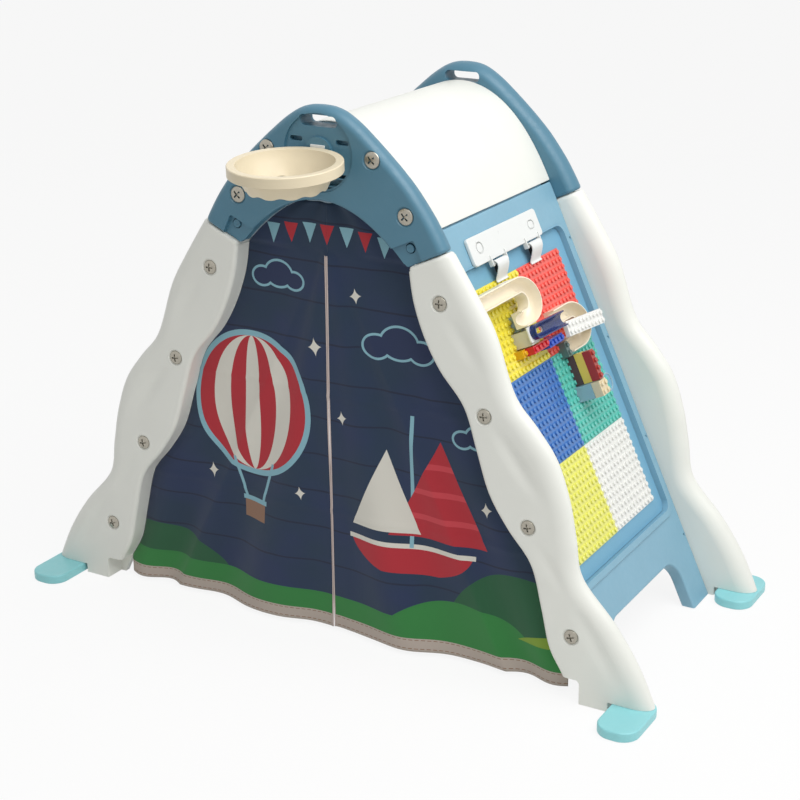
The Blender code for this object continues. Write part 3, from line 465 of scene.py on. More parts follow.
def make_leg(end, side, label):
    place = ENDS[end]
    inner, outer = smooth_path(LEG_INNER, 6), smooth_path(LEG_OUTER, 6)
    first, last = LEG_OUTER[0][0], LEG_OUTER[-1][0]
    count = round((last - first) / LEG_ROW)
    rows = []
    for i in range(count + 1):
        s = first + (last - first) * i / count
        points = [(leg_point(s, t), z) for t, z in leg_section(s, inner, outer)]
        rows.append([(side * x, y, z) for (x, y), z in points])
    upwards = (-side * math.cos(LEG_SLOPE), math.sin(LEG_SLOPE), 0)
    rows = rounded_end(rows[0], upwards, LEG_TOP_ROUND)[::-1] + rows[1:]
    leg = loft(f"{end}_{label}_leg_moulding", rows, place)
    plug = [leg_point(s, t) for s, t in sharp_box(*PLUG)]
    cut(leg, solid("plug", mirrored(plug, side), -0.038, -0.016, place), "UNION")
    cut(leg, solid("floor", sharp_box(-0.9, 0.9, -0.2, 0.0005), -0.2, 0.1, place))
    cut(leg, solid("heel", mirrored(HEEL, side), -0.046, 0.1, place))
    under = sharp_box(FOOT_X - FOOT_WIDTH / 2 - 0.008, 0.9, -0.1, FOOT_HEIGHT + 0.0004)
    cut(leg, solid("under", mirrored(under, side), -0.2, 0.1, place))
    for s in LEG_SCREWS:
        x, y = leg_point(s, 0)
        cut(leg, screw_seat(place @ Matrix.Translation((side * x, y, 0)), LEG_SCREW_RADIUS))
    round_edges(leg, 0.0014, 2, 50)
    finished(leg, WHITE, [f"{end}_{label}_leg"], angle=40)


# Feet: light-blue tongues of polyethylene that clip under the legs, flat below, with a soft upper edge.
# They reach forward of all four legs, so that the set can't tip when the hoop is pulled.
LIGHT_BLUE = moulded_polyethylene("light blue moulded polyethylene", "8fd3d8", 0.38)
FOOT_CORNER, FOOT_AHEAD, FOOT_BEHIND = 0.036, 0.095, 0.052


def make_foot(end, side, label):
    out, back = (FOOT_AHEAD, FOOT_BEHIND) if end == "front" else (FOOT_BEHIND, FOOT_AHEAD)
    plan = round_box(side * FOOT_X - FOOT_WIDTH / 2, side * FOOT_X + FOOT_WIDTH / 2, -back, out,
                     FOOT_CORNER, 12)
    flat = ENDS[end] @ Matrix.Rotation(math.radians(90), 4, "X")
    foot = solid(f"{end}_{label}_foot_tongue", plan, -FOOT_HEIGHT, 0, flat)
    round_edges(foot, 0.0035, 4, 50)
    finished(foot, LIGHT_BLUE, [f"{end}_{label}_foot"])


for end in ENDS:
    for side, label in HANDS:
        make_leg(end, side, label)
        make_foot(end, side, label)

# Screws: nickel-plated steel with domed heads and a cross recess, in shallow seats of the mouldings. They
# are a warm grey, scratched a little where a driver turned in them.
NICKEL, tree, shader, place = started("nickel-plated steel")
dull = add(tree, "ShaderNodeTexNoise", {"Vector": place, "Scale": 1 / 0.004, "Detail": 3.0})
plating = add(tree, "ShaderNodeMix", {"Factor": dull.outputs["Fac"], 6: srgb("8f8a7e"), 7: srgb("bdb8ac")},
              data_type="RGBA")
worn = add(tree, "ShaderNodeMapRange", {"Value": dull.outputs["Fac"], "To Min": 0.22, "To Max": 0.48})
wire(tree, shader, {"Metallic": 1.0, "Base Color": plating.outputs[2], "Roughness": worn.outputs["Result"]})
SCREW_SEAT, SCREW_HEIGHT, SHANK_RADIUS, SHANK_LENGTH, RECESS_WIDTH = -0.0026, 0.0045, 0.003, 0.010, 0.0032


def make_screw(name, place, radius, nodes, lean):
    dome = [(SCREW_SEAT + SCREW_HEIGHT * math.cos(a), radius * math.sin(a)) for a in fan(math.pi / 2, 8)]
    dome[0] = (dome[0][0], 0)
    shaft = [(SCREW_SEAT, SHANK_RADIUS), (-SHANK_LENGTH, SHANK_RADIUS), (-SHANK_LENGTH, 0)]
    screw = turned(name, dome + shaft, 36, place)
    arm, half = radius * 0.55, RECESS_WIDTH / 2
    for turn in (lean, lean + 90):
        across_head = place @ Matrix.Rotation(math.radians(turn), 4, "Z")
        cut(screw, solid("recess", sharp_box(-arm, arm, -half, half), SCREW_SEAT, CLEAR, across_head))
    finished(screw, NICKEL, nodes, angle=50)


for end in ENDS:
    for side, label in HANDS:
        spots = [(f"head_screw_{label}_{i + 1}", x, z, HEAD_SCREW_RADIUS, 45)
                 for i, (x, z) in enumerate(HEAD_SCREWS)]
        spots += [(f"leg_screw_{label}_{i + 1}", *leg_point(s, 0), LEG_SCREW_RADIUS, 6 * i)
                  for i, s in enumerate(LEG_SCREWS)]
        for node, x, z, radius, lean in spots:
            spot = ENDS[end] @ Matrix.Translation((side * x, z, 0))
            make_screw(f"{end}_{node}_domed", spot, radius, [node] if end == "front" else (), lean)

# Roof: one white polyethylene sheet, moulded to the curve between the heads. It ends in line with the
# side panels, where a dark joint shows.
PANEL_HALF = 0.264
outside, inside = roof_lines(80)
roof = solid("roof_sheet", outside + inside[::-1], -PANEL_HALF + GAP, PANEL_HALF - GAP,
             Matrix.Translation((0, MIDDLE_Y, 0)) @ UPRIGHT)
round_edges(roof, 0.0015, 2, 50)
finished(roof, WHITE, ["roof_panel"])

# Side panels: blue polyethylene boards that slope from the roof to the floor. Each has a raised bead
# round a sunk field, and a cut-out below that leaves two legs.
# Painted light: the panels' blue is the heads' plastic set paler, for the light that falls on their slopes.
LIGHT_PAINTED_BLUE = moulded_polyethylene("blue blow-moulded polyethylene paled for painted light", "7fabc0")
SLOPE_DOWN = Vector((math.cos(LEG_SLOPE), 0, -math.sin(LEG_SLOPE)))
SLOPE_OUT = Vector((math.sin(LEG_SLOPE), 0, math.cos(LEG_SLOPE)))
right_side = Matrix((Vector((0, 1, 0)), -SLOPE_DOWN, SLOPE_OUT)).transposed().to_4x4()
right_side.translation = Vector((JOINT_X, 0, JOINT_Z)) + PANEL_RISE * SLOPE_OUT
SIDES = {"right": Matrix.Translation((0, MIDDLE_Y, 0)) @ right_side,
         "left": Matrix.Translation((0, MIDDLE_Y, 0)) @ HALF_TURN @ right_side}
CUTOUT_HALF, CUTOUT_TOP, CUTOUT_RADIUS = 0.1785, 0.813, 0.050
RECESS_HALF, RECESS_TOP, RECESS_BOTTOM, RECESS_DEPTH = 0.230, 0.063, 0.716, 0.011
BEAD_WIDTH, BEAD_HEIGHT = 0.016, 0.005
CLAMP_U, CLAMP_HALF, CLAMP_TOP, CLAMP_BOTTOM, CLAMP_THICKNESS = -0.012, 0.1495, 0.0075, 0.065, 0.008
PANEL_HOLES, HOLE_U, HOLE_RADIUS = (0.099, 0.326, 0.556, 0.787), 0.2545, 0.0032
GROOVE, PANEL_TOP, LIP_HALF = 0.0035, -SEAM_S - 0.0035, 0.236


def make_panel(label):
    place = SIDES[label]
    half = [(PANEL_HALF, PANEL_TOP), (PANEL_HALF, -1.0), (CUTOUT_HALF, -1.0)]
    half += [(CUTOUT_HALF - CUTOUT_RADIUS + CUTOUT_RADIUS * math.cos(a),
              -CUTOUT_TOP - CUTOUT_RADIUS + CUTOUT_RADIUS * math.sin(a)) for a in fan(math.pi / 2, 10)]
    panel = solid(f"{label}_side_moulding", half + mirrored(half, -1)[::-1], -PANEL_THICKNESS, 0, place)
    round_edges(panel, 0.004, 3, 50)
    rim = round_box(-RECESS_HALF - BEAD_WIDTH, RECESS_HALF + BEAD_WIDTH, -RECESS_BOTTOM - BEAD_WIDTH,
                    -RECESS_TOP + 0.002, 0.034, 10)
    bead = solid("bead", rim, -0.004, BEAD_HEIGHT, place)
    round_edges(bead, 0.0045, 5, 60)
    cut(panel, bead, "UNION")
    field = round_box(-RECESS_HALF, RECESS_HALF, -RECESS_BOTTOM, -RECESS_TOP, 0.022, 10)
    cut(panel, solid("field", field, -RECESS_DEPTH - 0.005, CLEAR, place))
    # the field's own floor stops short of the bead, so that a groove runs round it
    raised = round_box(-RECESS_HALF + GROOVE, RECESS_HALF - GROOVE, -RECESS_BOTTOM + GROOVE,
                       -RECESS_TOP - GROOVE, 0.0185, 10)
    cut(panel, solid("raised", raised, -0.020, -RECESS_DEPTH, place), "UNION")
    seat = sharp_box(CLAMP_U - CLAMP_HALF - 0.001, CLAMP_U + CLAMP_HALF + 0.001,
                     -CLAMP_BOTTOM - 0.001, -CLAMP_TOP)
    cut(panel, solid("clamp_seat", seat, 0.0, CLEAR, place))
    # a lip behind the roof's lower edge closes the seam
    lip = sharp_box(-LIP_HALF, LIP_HALF, PANEL_TOP - 0.010, -SEAM_S + 0.007)
    cut(panel, solid("under_roof", lip, -0.0160, -0.0095, place), "UNION")
    for s in PANEL_HOLES:
        for u in (-HOLE_U, HOLE_U):
            cut(panel, solid("hole", circle(u, -s, HOLE_RADIUS, 16), -0.009, CLEAR, place))
    cut(panel, solid("floor_cut", sharp_box(-1, 1, -1, 1), -0.3, 0.0025, Matrix.Identity(4)))
    round_edges(panel, 0.0010, 2, 50)
    finished(panel, LIGHT_PAINTED_BLUE, [f"{label}_side_panel"])


for label in SIDES:
    make_panel(label)

# Board: a printed sheet of card, sky blue like the panel, that lies in the sunk field under the plates.
CARD, tree, shader, place = started("blue printed card")
fibre = add(tree, "ShaderNodeTexNoise", {"Vector": place, "Scale": 1 / 0.0025, "Detail": 5.0})
sky = add(tree, "ShaderNodeMix", {"Factor": fibre.outputs["Fac"], 6: srgb("6ea3c0"), 7: srgb("7bb0cb")},
          data_type="RGBA")
wire(tree, shader, {"Base Color": sky.outputs[2], "Roughness": 0.6})
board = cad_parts["right_board"]
board.data.materials.clear()
board.data.materials.append(CARD)


# Block plates: injection-moulded ABS, twelve studs each way at 16 mm. The plastic is hard and glossy, so
# every stud has its own small highlight and each plate keeps a thin dark joint to the next.
def moulded_abs(name, colour, clear=0.0):
    """Injection-moulded ABS: even colour, high gloss, with a trace of flow in the sheen."""
    made, tree, shader, place = started(name)
    flow = add(tree, "ShaderNodeTexNoise", {"Vector": place, "Scale": 1 / 0.030, "Detail": 2.0})
    darker = [c * 0.93 for c in srgb(colour)[:3]]
    paler = [min(c * 1.05, 1) for c in srgb(colour)[:3]]
    tone = add(tree, "ShaderNodeMix", {"Factor": flow.outputs["Fac"], 6: (*darker, 1), 7: (*paler, 1)},
               data_type="RGBA")
    gloss = add(tree, "ShaderNodeMapRange", {"Value": flow.outputs["Fac"], "To Min": 0.18, "To Max": 0.30})
    wire(tree, shader, {"IOR": 1.54, "Base Color": tone.outputs[2], "Roughness": gloss.outputs["Result"],
                        "Transmission Weight": clear})
    return made


STUD_PITCH, STUD_RADIUS, STUD_HEIGHT = 0.016, 0.00475, 0.0045
STUD_PROFILE = ((0, STUD_RADIUS), (STUD_HEIGHT - 0.0006, STUD_RADIUS), (STUD_HEIGHT, STUD_RADIUS - 0.0006))
PLATE, PLATE_THICKNESS, PLATES_TOP = 0.192, 0.0025, 0.105
BOARD_TOP = -RECESS_DEPTH + GAP + 0.003
PLATE_TOP = BOARD_TOP + GAP + PLATE_THICKNESS


def add_studs(bm, left, high, columns, rows, top, sides=14):
    """Studs on a face at height top, counted right and down from its upper left corner."""
    for i in range(columns):
        for j in range(rows):
            x, y = left + (i + 0.5) * STUD_PITCH, high - (j + 0.5) * STUD_PITCH
            rings = [[bm.verts.new((*point, top + h)) for point in circle(x, y, r, sides)]
                     for h, r in STUD_PROFILE]
            skin(bm, rings)
            bm.faces.new(rings[-1])


def block(name, left, high, columns, rows, low, top, material, nodes, place):
    """A studded block: a box with softly broken edges, and a stud for every 16 mm."""
    bm = bmesh.new()
    width, height = columns * STUD_PITCH - GAP, rows * STUD_PITCH - GAP
    corners = bmesh.ops.create_cube(bm, size=1)["verts"]
    bmesh.ops.scale(bm, verts=corners, vec=(width, height, top - low))
    bmesh.ops.translate(bm, verts=corners, vec=(left + width / 2, high - height / 2, (low + top) / 2))
    bmesh.ops.bevel(bm, geom=bm.edges[:], offset=0.0005, segments=2, profile=0.5, affect="EDGES")
    add_studs(bm, left - GAP / 2, high + GAP / 2, columns, rows, top - 0.0001)
    finished(piece_of(name, bm, place), material, nodes, angle=40)


PLATE_COLOURS = ((("yellow", "f0e24e"), ("red", "ee6257")), (("blue", "467cc0"), ("teal", "60c4b6")),
                 (("pale_yellow", "e9e878"), ("white", "ecece8")))
for row, pair in enumerate(PLATE_COLOURS):
    for column, (name, colour) in enumerate(pair):
        block(f"{name}_studded_plate", -PLATE + column * PLATE + GAP / 2, -PLATES_TOP - row * PLATE - GAP / 2,
              12, 12, BOARD_TOP + GAP, PLATE_TOP, moulded_abs(f"{name} ABS plate", colour),
              [f"block_plate_{name}"], SIDES["right"])

# Marble run: ABS bricks of the same pitch, with two cream half-pipes that turn back on themselves, a
# clear navy channel and a white beam. It stands out from the plates, fastened by its studs.
BRICK = 0.0192
# The "tan" brick colour is the cream set darker, as painted shade on the outlet's outer brick.
COLOURS = {"cream": ("f6ecd6", 0), "ice": ("bcd8ea", 0.45), "grey": ("e0ded2", 0.15), "yellow": ("e2ae20", 0),
           "red": ("d2202c", 0), "blue": ("2450c0", 0), "white": ("efefeb", 0), "navy": ("24408c", 0.55),
           "slate": ("5f7873", 0), "inner brown": ("5e3c42", 0), "outer brown": ("a83a30", 0),
           "mustard": ("f0d060", 0), "tan": ("e2d3b0", 0)}
ABS = {key: moulded_abs(f"{key} ABS brick", colour, clear) for key, (colour, clear) in COLOURS.items()}
BRICKS = (("brick_light_blue", -0.0840, 0.1840, 2, 2, 0, BRICK, "ice", "ice_brick", 0),
          ("brick_grey_tall", -0.0985, 0.2163, 2, 2, 0, 2 * BRICK + GAP, "grey", "grey_brick", 0),
          ("brick_yellow_small", -0.1120, 0.2500, 2, 1, 0, BRICK, "yellow", "yellow_brick", 0),
          ("brick_red", -0.0845, 0.2500, 4, 1, 1, BRICK, "red", "red_brick", 0),
          ("brick_blue", -0.0200, 0.2560, 4, 1, 0, 2 * BRICK + GAP, "blue", "blue_brick", 0),
          ("white_beam", 0.1045, 0.2465, 10, 2, 2, 0.0096, "white", "white_brick", -5),
          ("brick_slate", 0.0480, 0.2810, 1, 2, 0, BRICK, "slate", "slate_brick", 0),
          ("brick_brown_inner", 0.0640, 0.3140, 1, 4, 0, BRICK, "inner brown", "brown_brick", 0),
          ("brick_yellow_middle", 0.0640, 0.3140, 1, 4, 1, BRICK, "mustard", "mustard_brick", 0),
          ("brick_brown_outer", 0.0640, 0.3140, 1, 4, 2, BRICK, "outer brown", "brown_brick", 0),
          ("marble_outlet", 0.0620, 0.3790, 2, 2, 0, 2 * BRICK, "ice", "ice_brick", 0))


def level_base(level):
    return PLATE_TOP + GAP + level * (BRICK + GAP)


for node, centre, top_s, columns, rows, level, height, colour, slot, turn in BRICKS:
    corner = (SIDES["right"] @ Matrix.Translation((centre, -top_s, 0))
              @ Matrix.Rotation(math.radians(turn), 4, "Z"))
    block(f"{node}_studded", -columns * STUD_PITCH / 2 + GAP / 2, 0, columns, rows, level_base(level),
          level_base(level) + height, ABS[colour], [node], corner)
# the outlet's outer third is a cream brick coloured tan as painted shade, with a thin clear ring on it
outlet = SIDES["right"] @ Matrix.Translation((0.0620, -0.3790, 0))
block("outlet_shaded_cream_brick", -STUD_PITCH + GAP / 2, 0, 2, 2, level_base(2), level_base(2) + BRICK, ABS["tan"],
      [], outlet)
RING_RADIUS, RING_WIRE = 0.018, 0.0013
ring_place = SIDES["right"] @ Matrix.Translation((0.0985, -0.3935, 0.045))
finished(turned("outlet_ring", circle(0, RING_RADIUS, RING_WIRE, 8), 48, ring_place), ABS["ice"])

TRACK_RADIUS, TRACK_HALF, TRACK_WALL, TRACK_FLOOR, TRACK_HEIGHT = 0.032, 0.016, 0.0025, 0.0052, 0.026
TRACK_BREAK = 0.0006                                     # how much the brim's edges are broken


def make_track(node, start_u, turn_u, top_s, level, end_u, rise):
    """A half-pipe that opens outwards: a straight, a turn back below itself, and a short straight."""
    base, brim = level_base(level), level_base(level) + TRACK_HEIGHT
    wall, deep = TRACK_HALF - TRACK_WALL, TRACK_HEIGHT - TRACK_FLOOR
    section = [(TRACK_HALF, brim - TRACK_BREAK), (TRACK_HALF - TRACK_BREAK, brim), (wall + TRACK_BREAK, brim)]
    section += [(wall * math.cos(a), brim - deep * math.sin(a)) for a in fan(math.pi, 16)]
    section += [(-wall - TRACK_BREAK, brim), (-TRACK_HALF + TRACK_BREAK, brim),
                (-TRACK_HALF, brim - TRACK_BREAK), (-TRACK_HALF, base), (TRACK_HALF, base)]
    line = -top_s - TRACK_HALF
    path = [(start_u, line), ((start_u + turn_u) / 2, line)]
    path += [(turn_u + TRACK_RADIUS * math.sin(a), line - TRACK_RADIUS + TRACK_RADIUS * math.cos(a))
             for a in fan(math.pi, 24)]
    path.append((end_u, line - 2 * TRACK_RADIUS))
    rows = []
    for i, (x, y) in enumerate(path):
        ahead, behind = path[min(i + 1, len(path) - 1)], path[max(i - 1, 0)]
        along = Vector((ahead[0] - behind[0], ahead[1] - behind[1])).normalized()
        lift = rise * math.sin(math.pi * max(i - 1, 0) / (len(path) - 2)) if i < len(path) - 1 else 0
        rows.append([(x - along.y * a, y + along.x * a, h + lift * (a > 0 and h > brim - 0.001))
                     for a, h in section])
    finished(loft(f"{node}_half_pipe", rows, SIDES["right"]), ABS["cream"], [node], angle=40)


make_track("marble_track_upper", -0.262, -0.0950, 0.113, 1, -0.118, 0.013)
make_track("marble_track_lower", 0.036, 0.0980, 0.2113, 0, 0.0580, 0.012)

# Channel: a clear navy gutter, round at its left end, on a white tray. It falls a little towards the open
# end, and a slot in its floor lets a marble drop.
CHANNEL_HALF, CHANNEL_LENGTH, CHANNEL_BORE = 0.0155, 0.134, 0.0125
CHANNEL_HEIGHT, TRAY_THICKNESS = 0.0175, 0.004
channel_place = (SIDES["right"] @ Matrix.Translation((-0.1150, -0.2255, level_base(2) - GAP))
                 @ Matrix.Rotation(math.radians(-2.2), 4, "Z"))
left_end = [(CHANNEL_HALF - CHANNEL_HALF * math.sin(a), CHANNEL_HALF * math.cos(a)) for a in fan(math.pi, 24)]
channel = solid("marble_channel", [(CHANNEL_LENGTH, -CHANNEL_HALF), (CHANNEL_LENGTH, CHANNEL_HALF)] + left_end,
                TRAY_THICKNESS, CHANNEL_HEIGHT, channel_place)
lying = channel_place @ Matrix.Translation((0, 0, CHANNEL_HEIGHT)) @ Matrix.Rotation(math.radians(90), 4, "Y")
gutter = [(CHANNEL_HALF + CHANNEL_BORE * (1 - math.cos(a)) - CHANNEL_BORE, CHANNEL_BORE * math.sin(a))
          for a in fan(math.pi / 2, 8)]
gutter += [(CHANNEL_LENGTH + CLEAR, CHANNEL_BORE), (CHANNEL_LENGTH + CLEAR, 0)]
cut(channel, turned("gutter", gutter, 40, lying))
drop = round_box(0.020, 0.052, -0.0055, 0.0055, 0.0054, 8)
cut(channel, solid("drop", drop, 0, 0.03, channel_place))
round_edges(channel, 0.0006, 2, 50)
finished(channel, ABS["navy"], ["marble_tunnel"])
plan = round_box(-0.004, CHANNEL_LENGTH - 0.0005, -CHANNEL_HALF - 0.0015, CHANNEL_HALF - 0.0005, 0.003)
tray = solid("channel_tray", plan, 0.0, TRAY_THICKNESS - 0.0002, channel_place)
cut(tray, solid("drop", drop, -0.01, 0.03, channel_place))
round_edges(tray, 0.0006, 2, 50)
finished(tray, ABS["white"])

# Clamp: a white polypropylene bar across the top of the field, with two sprung levers that hold a sheet
# of paper. Each lever turns between two ears: an open sheet that curls down on to the board. Below each
# curl lies a black leaf, a painted shade for the dark space under it.
CLAMP_WHITE = moulded_polyethylene("white moulded polypropylene", "e4e6e4", 0.34, 0.02)
LEVERS = (("front", -0.0695), ("rear", 0.0840))
LEVER_WIDTH, LEVER_TAB, TAB_SHIFT = 0.056, 0.046, -0.005
BARREL_S, BARREL_H, BARREL_RADIUS = 0.0738, 0.007, 0.0050
EAR_THICKNESS, EAR_MARGIN = 0.004, 0.004
MARKS, MARK_WIDTH = ((-0.137, -0.110, 0.021, 0.045), (0.0865, 0.1144, 0.026, 0.046)), 0.0030
plan = round_box(CLAMP_U - CLAMP_HALF, CLAMP_U + CLAMP_HALF, -CLAMP_BOTTOM, -CLAMP_TOP, 0.008)
bar = solid("clamp_bar", plan, GAP, CLAMP_THICKNESS, SIDES["right"])
round_edges(bar, 0.0020, 3, 60)
for _, u in LEVERS:
    for face in (-1, 1):
        inner = u + face * (LEVER_WIDTH / 2 + 0.0006)
        low, high = sorted((inner, inner + face * EAR_THICKNESS))
        plan = sharp_box(low, high, -BARREL_S - EAR_MARGIN, -CLAMP_BOTTOM + 0.010)
        ear = solid("ear", plan, 0.001, BARREL_H + EAR_MARGIN, SIDES["right"])
        round_edges(ear, 0.0012, 2, 60)
        cut(bar, ear, "UNION")
for left, right, low, high in MARKS:
    radius = (high - low) / 2 - 0.0003
    ring = round_box(left, right, -high, -low, radius, 8)
    cut(bar, solid("groove", ring, 0.0035, CLEAR, SIDES["right"]))
    island = round_box(left + MARK_WIDTH, right - MARK_WIDTH, -high + MARK_WIDTH, -low - MARK_WIDTH,
                       radius - MARK_WIDTH, 8)
    cut(bar, solid("island", island, 0.002, CLAMP_THICKNESS - 0.0003, SIDES["right"]), "UNION")
round_edges(bar, 0.0006, 2, 50)
finished(bar, CLAMP_WHITE, ["clamp_plate"])
# Painted shade: a black sheet under each lever's curl stands for the shadow there, not for a part of the clamp.
SHADE_LEAF_MATERIAL, tree, shader, place = started("black sheet for painted shade")
grain = add(tree, "ShaderNodeTexNoise", {"Vector": place, "Scale": 1 / 0.003, "Detail": 3.0})
worn = add(tree, "ShaderNodeMapRange", {"Value": grain.outputs["Fac"], "To Min": 0.45, "To Max": 0.65})
wire(tree, shader, {"Base Color": srgb("1c1c1e"), "Metallic": 0.7, "Roughness": worn.outputs["Result"]})
# the curled sheet, the web at its side and the black leaf of painted shade, as (down the slope from the axis,
# height off the panel)
CURL = ((-0.0062, 0.0080), (-0.0060, 0.0124), (-0.0032, 0.0156), (0.0015, 0.0178), (0.0080, 0.0172),
        (0.0160, 0.0130), (0.0240, 0.0074), (0.0300, 0.0030), (0.0340, 0.0016), (0.0370, 0.0034))
CURL_THICKNESS, WEB_THICKNESS, SHADE_LEAF_INSET = 0.0018, 0.003, 0.002
WEB = ((-0.0046, 0.0070), (-0.0046, 0.0132), (0.0005, 0.0160), (0.0020, 0.0070))
SHADE_LEAF = ((0.0030, 0.0060), (0.0020, 0.0150), (0.0075, 0.0148), (0.0150, 0.0108), (0.0215, 0.0062))


def about_axis(line):
    """Points off the panel as the lever's own x and y."""
    return [(BARREL_H - h, -s) for s, h in line]


def sheet_of(line, thickness):
    """The closed outline of a curled sheet, from its outer line, in the lever's place."""
    curve = smooth_path(line, 4)
    inner = []
    for i, (s, h) in enumerate(curve):
        before, after = curve[max(i - 1, 0)], curve[min(i + 1, len(curve) - 1)]
        along = Vector((after[0] - before[0], after[1] - before[1])).normalized()
        inner.append((s + along.y * thickness, h - along.x * thickness))
    return about_axis(curve + inner[::-1])


for label, u in LEVERS:
    axis = (SIDES["right"] @ Matrix.Translation((u, -BARREL_S, BARREL_H))
            @ Matrix.Rotation(math.radians(90), 4, "Y"))
    low, high = TAB_SHIFT - LEVER_TAB / 2, TAB_SHIFT + LEVER_TAB / 2
    barrel = circle(0, 0, BARREL_RADIUS, 40)
    lever = solid(f"clamp_lever_{label}_arm", barrel, -LEVER_WIDTH / 2, LEVER_WIDTH / 2, axis)
    cut(lever, solid("curl", sheet_of(CURL, CURL_THICKNESS), low, high, axis), "UNION")
    cut(lever, solid("web", about_axis(WEB), high - WEB_THICKNESS, high, axis), "UNION")
    round_edges(lever, 0.0005, 2, 50)
    finished(lever, CLAMP_WHITE, [f"clamp_lever_{label}"], f"clamp_lever_{label}")
    shade_leaf = solid(f"clamp_shade_leaf_{label}", about_axis(SHADE_LEAF), low + SHADE_LEAF_INSET, high - SHADE_LEAF_INSET, axis)
    finished(shade_leaf, SHADE_LEAF_MATERIAL, (), f"clamp_lever_{label}")

# Hoop: a cream polypropylene ring that plugs into the disc by a white tongue. A deep rim stands on a
# thinner collar, drawn in below, whose lower edge is scalloped.
CREAM = moulded_polyethylene("cream moulded polypropylene", "e4d6b8", 0.36, 0.03)
HOOP_Y, HOOP_Z, HOOP_DROOP, LOBES, LOBE_DEPTH = -0.112, 1.019, math.radians(4), 11, 0.0036
HOOP_PROFILE = ((-0.0008, 0.0930), (0.0, 0.0942), (0.0, 0.1070), (-0.0015, 0.1085), (-0.0195, 0.1085),
                (-0.0208, 0.1070), (-0.0215, 0.0905), (-0.0340, 0.0845), (-0.0490, 0.0772), (-0.0510, 0.0760),
                (-0.0510, 0.0746), (-0.0490, 0.0740), (-0.0340, 0.0812), (-0.0200, 0.0872), (-0.0100, 0.0912))


def scalloped(height, angle):
    """The lower edge hangs in soft lobes."""
    return height if height > -0.035 else height + LOBE_DEPTH * (0.5 + 0.5 * math.cos(angle * LOBES)) ** 1.5


hoop_place = Matrix.Translation((0, FRONT_Y + HOOP_Y, HOOP_Z)) @ Matrix.Rotation(HOOP_DROOP, 4, "X")
hoop = turned("hoop_ring", HOOP_PROFILE, 198, hoop_place, scalloped)
finished(hoop, CREAM, ["hoop"])
tongue = sharp_box(-0.016, 0.016, 0.995, 1.031)
hoop_back = 0.1085 * math.cos(HOOP_DROOP) + 0.020 * math.sin(HOOP_DROOP)
bracket = solid("hoop_tongue", tongue, -0.012, -HOOP_Y - hoop_back - GAP, ENDS["front"])
round_edges(bracket, 0.0015, 3)
finished(bracket, CLAMP_WHITE, ["hoop_bracket"])

# Cloth front: woven polyester, printed in navy with a generic picture, hung inside the front arch. It is
# slit down the middle for a door, piped along the slit and hemmed with a beige tape.
CLOTH_TOP_Z, CLOTH_HEM_Z, HINGE_Y = 0.812, 0.010, 0.032
HINGE_TOP_X, HINGE_FOOT_X = 0.016, 0.400
cloth_top_z = ARCH_TOP - 0.010
CLOTH_COLUMNS, CLOTH_ROWS, PIPING_ROWS = 96, 150, 120
SLIT_HALF, PIPING_RADIUS = 0.0015, 0.0016
PRINT = {"navy": "1d2b4d", "line": "151f38", "red": "b02733", "light red": "c6404a", "sky": "86b4c2",
         "cream": "d9d6cc", "green": "2f7d3c", "deep green": "1f5636", "lime": "7f9c34", "tan": "8f6d58",
         "beige": "b9aca2"}


def leg_inner_x(z):
    """How far out the inside of the leg, or of the head above it, is at a height."""
    line = [leg_point(s, t) for s, t in smooth_path(LEG_INNER[:12], 6)]
    if z >= line[0][1]:
        return math.sqrt(max(ARCH_TOP - z, 0) / ARCH_CURVE)
    for (x0, z0), (x1, z1) in zip(line, line[1:]):
        if z1 <= z <= z0:
            return x0 + (x1 - x0) * (z0 - z) / (z0 - z1)
    return line[-1][0]


def hinge_x(z):
    return HINGE_TOP_X + (HINGE_FOOT_X - HINGE_TOP_X) * max(CLOTH_TOP_Z - z, 0) / (CLOTH_TOP_Z - CLOTH_HEM_Z)


def cloth_depth(side, x, z):
    """How far behind the hinge line the cloth hangs: folds that deepen downwards, and fine creases."""
    hang = max(CLOTH_TOP_Z - z, 0) / (CLOTH_TOP_Z - CLOTH_HEM_Z)
    hinge, edge = hinge_x(z), leg_inner_x(z)
    if z > CLOTH_TOP_Z:
        f = 0.5 + side * x / (2 * edge + 1e-6)
        depth = 0.004 * math.cos(6 * math.pi * f) * math.sin(math.pi * f)
    elif x < hinge:
        f = 1 - x / hinge
        depth = -0.010 * f + 0.016 * hang * math.sin(2.5 * math.pi * f) * math.sin(math.pi * min(f, 0.9)) ** 0.5
    else:
        f = (x - hinge) / max(edge - hinge, 1e-6)
        depth = 0.010 * f + 0.012 * hang * math.sin(2 * math.pi * f)
    ripple = 0.0020 * math.sin(31 * x + 4 * z) * math.sin(9 * z + 2 * x)
    ripple += 0.0016 * hang * math.sin(52 * x + 3 * math.sin(7 * z) + side)
    crease = -0.0016 * sum(math.exp(-((z - at) / 0.006) ** 2) for at in (0.523, 0.273))
    return depth + ripple + crease


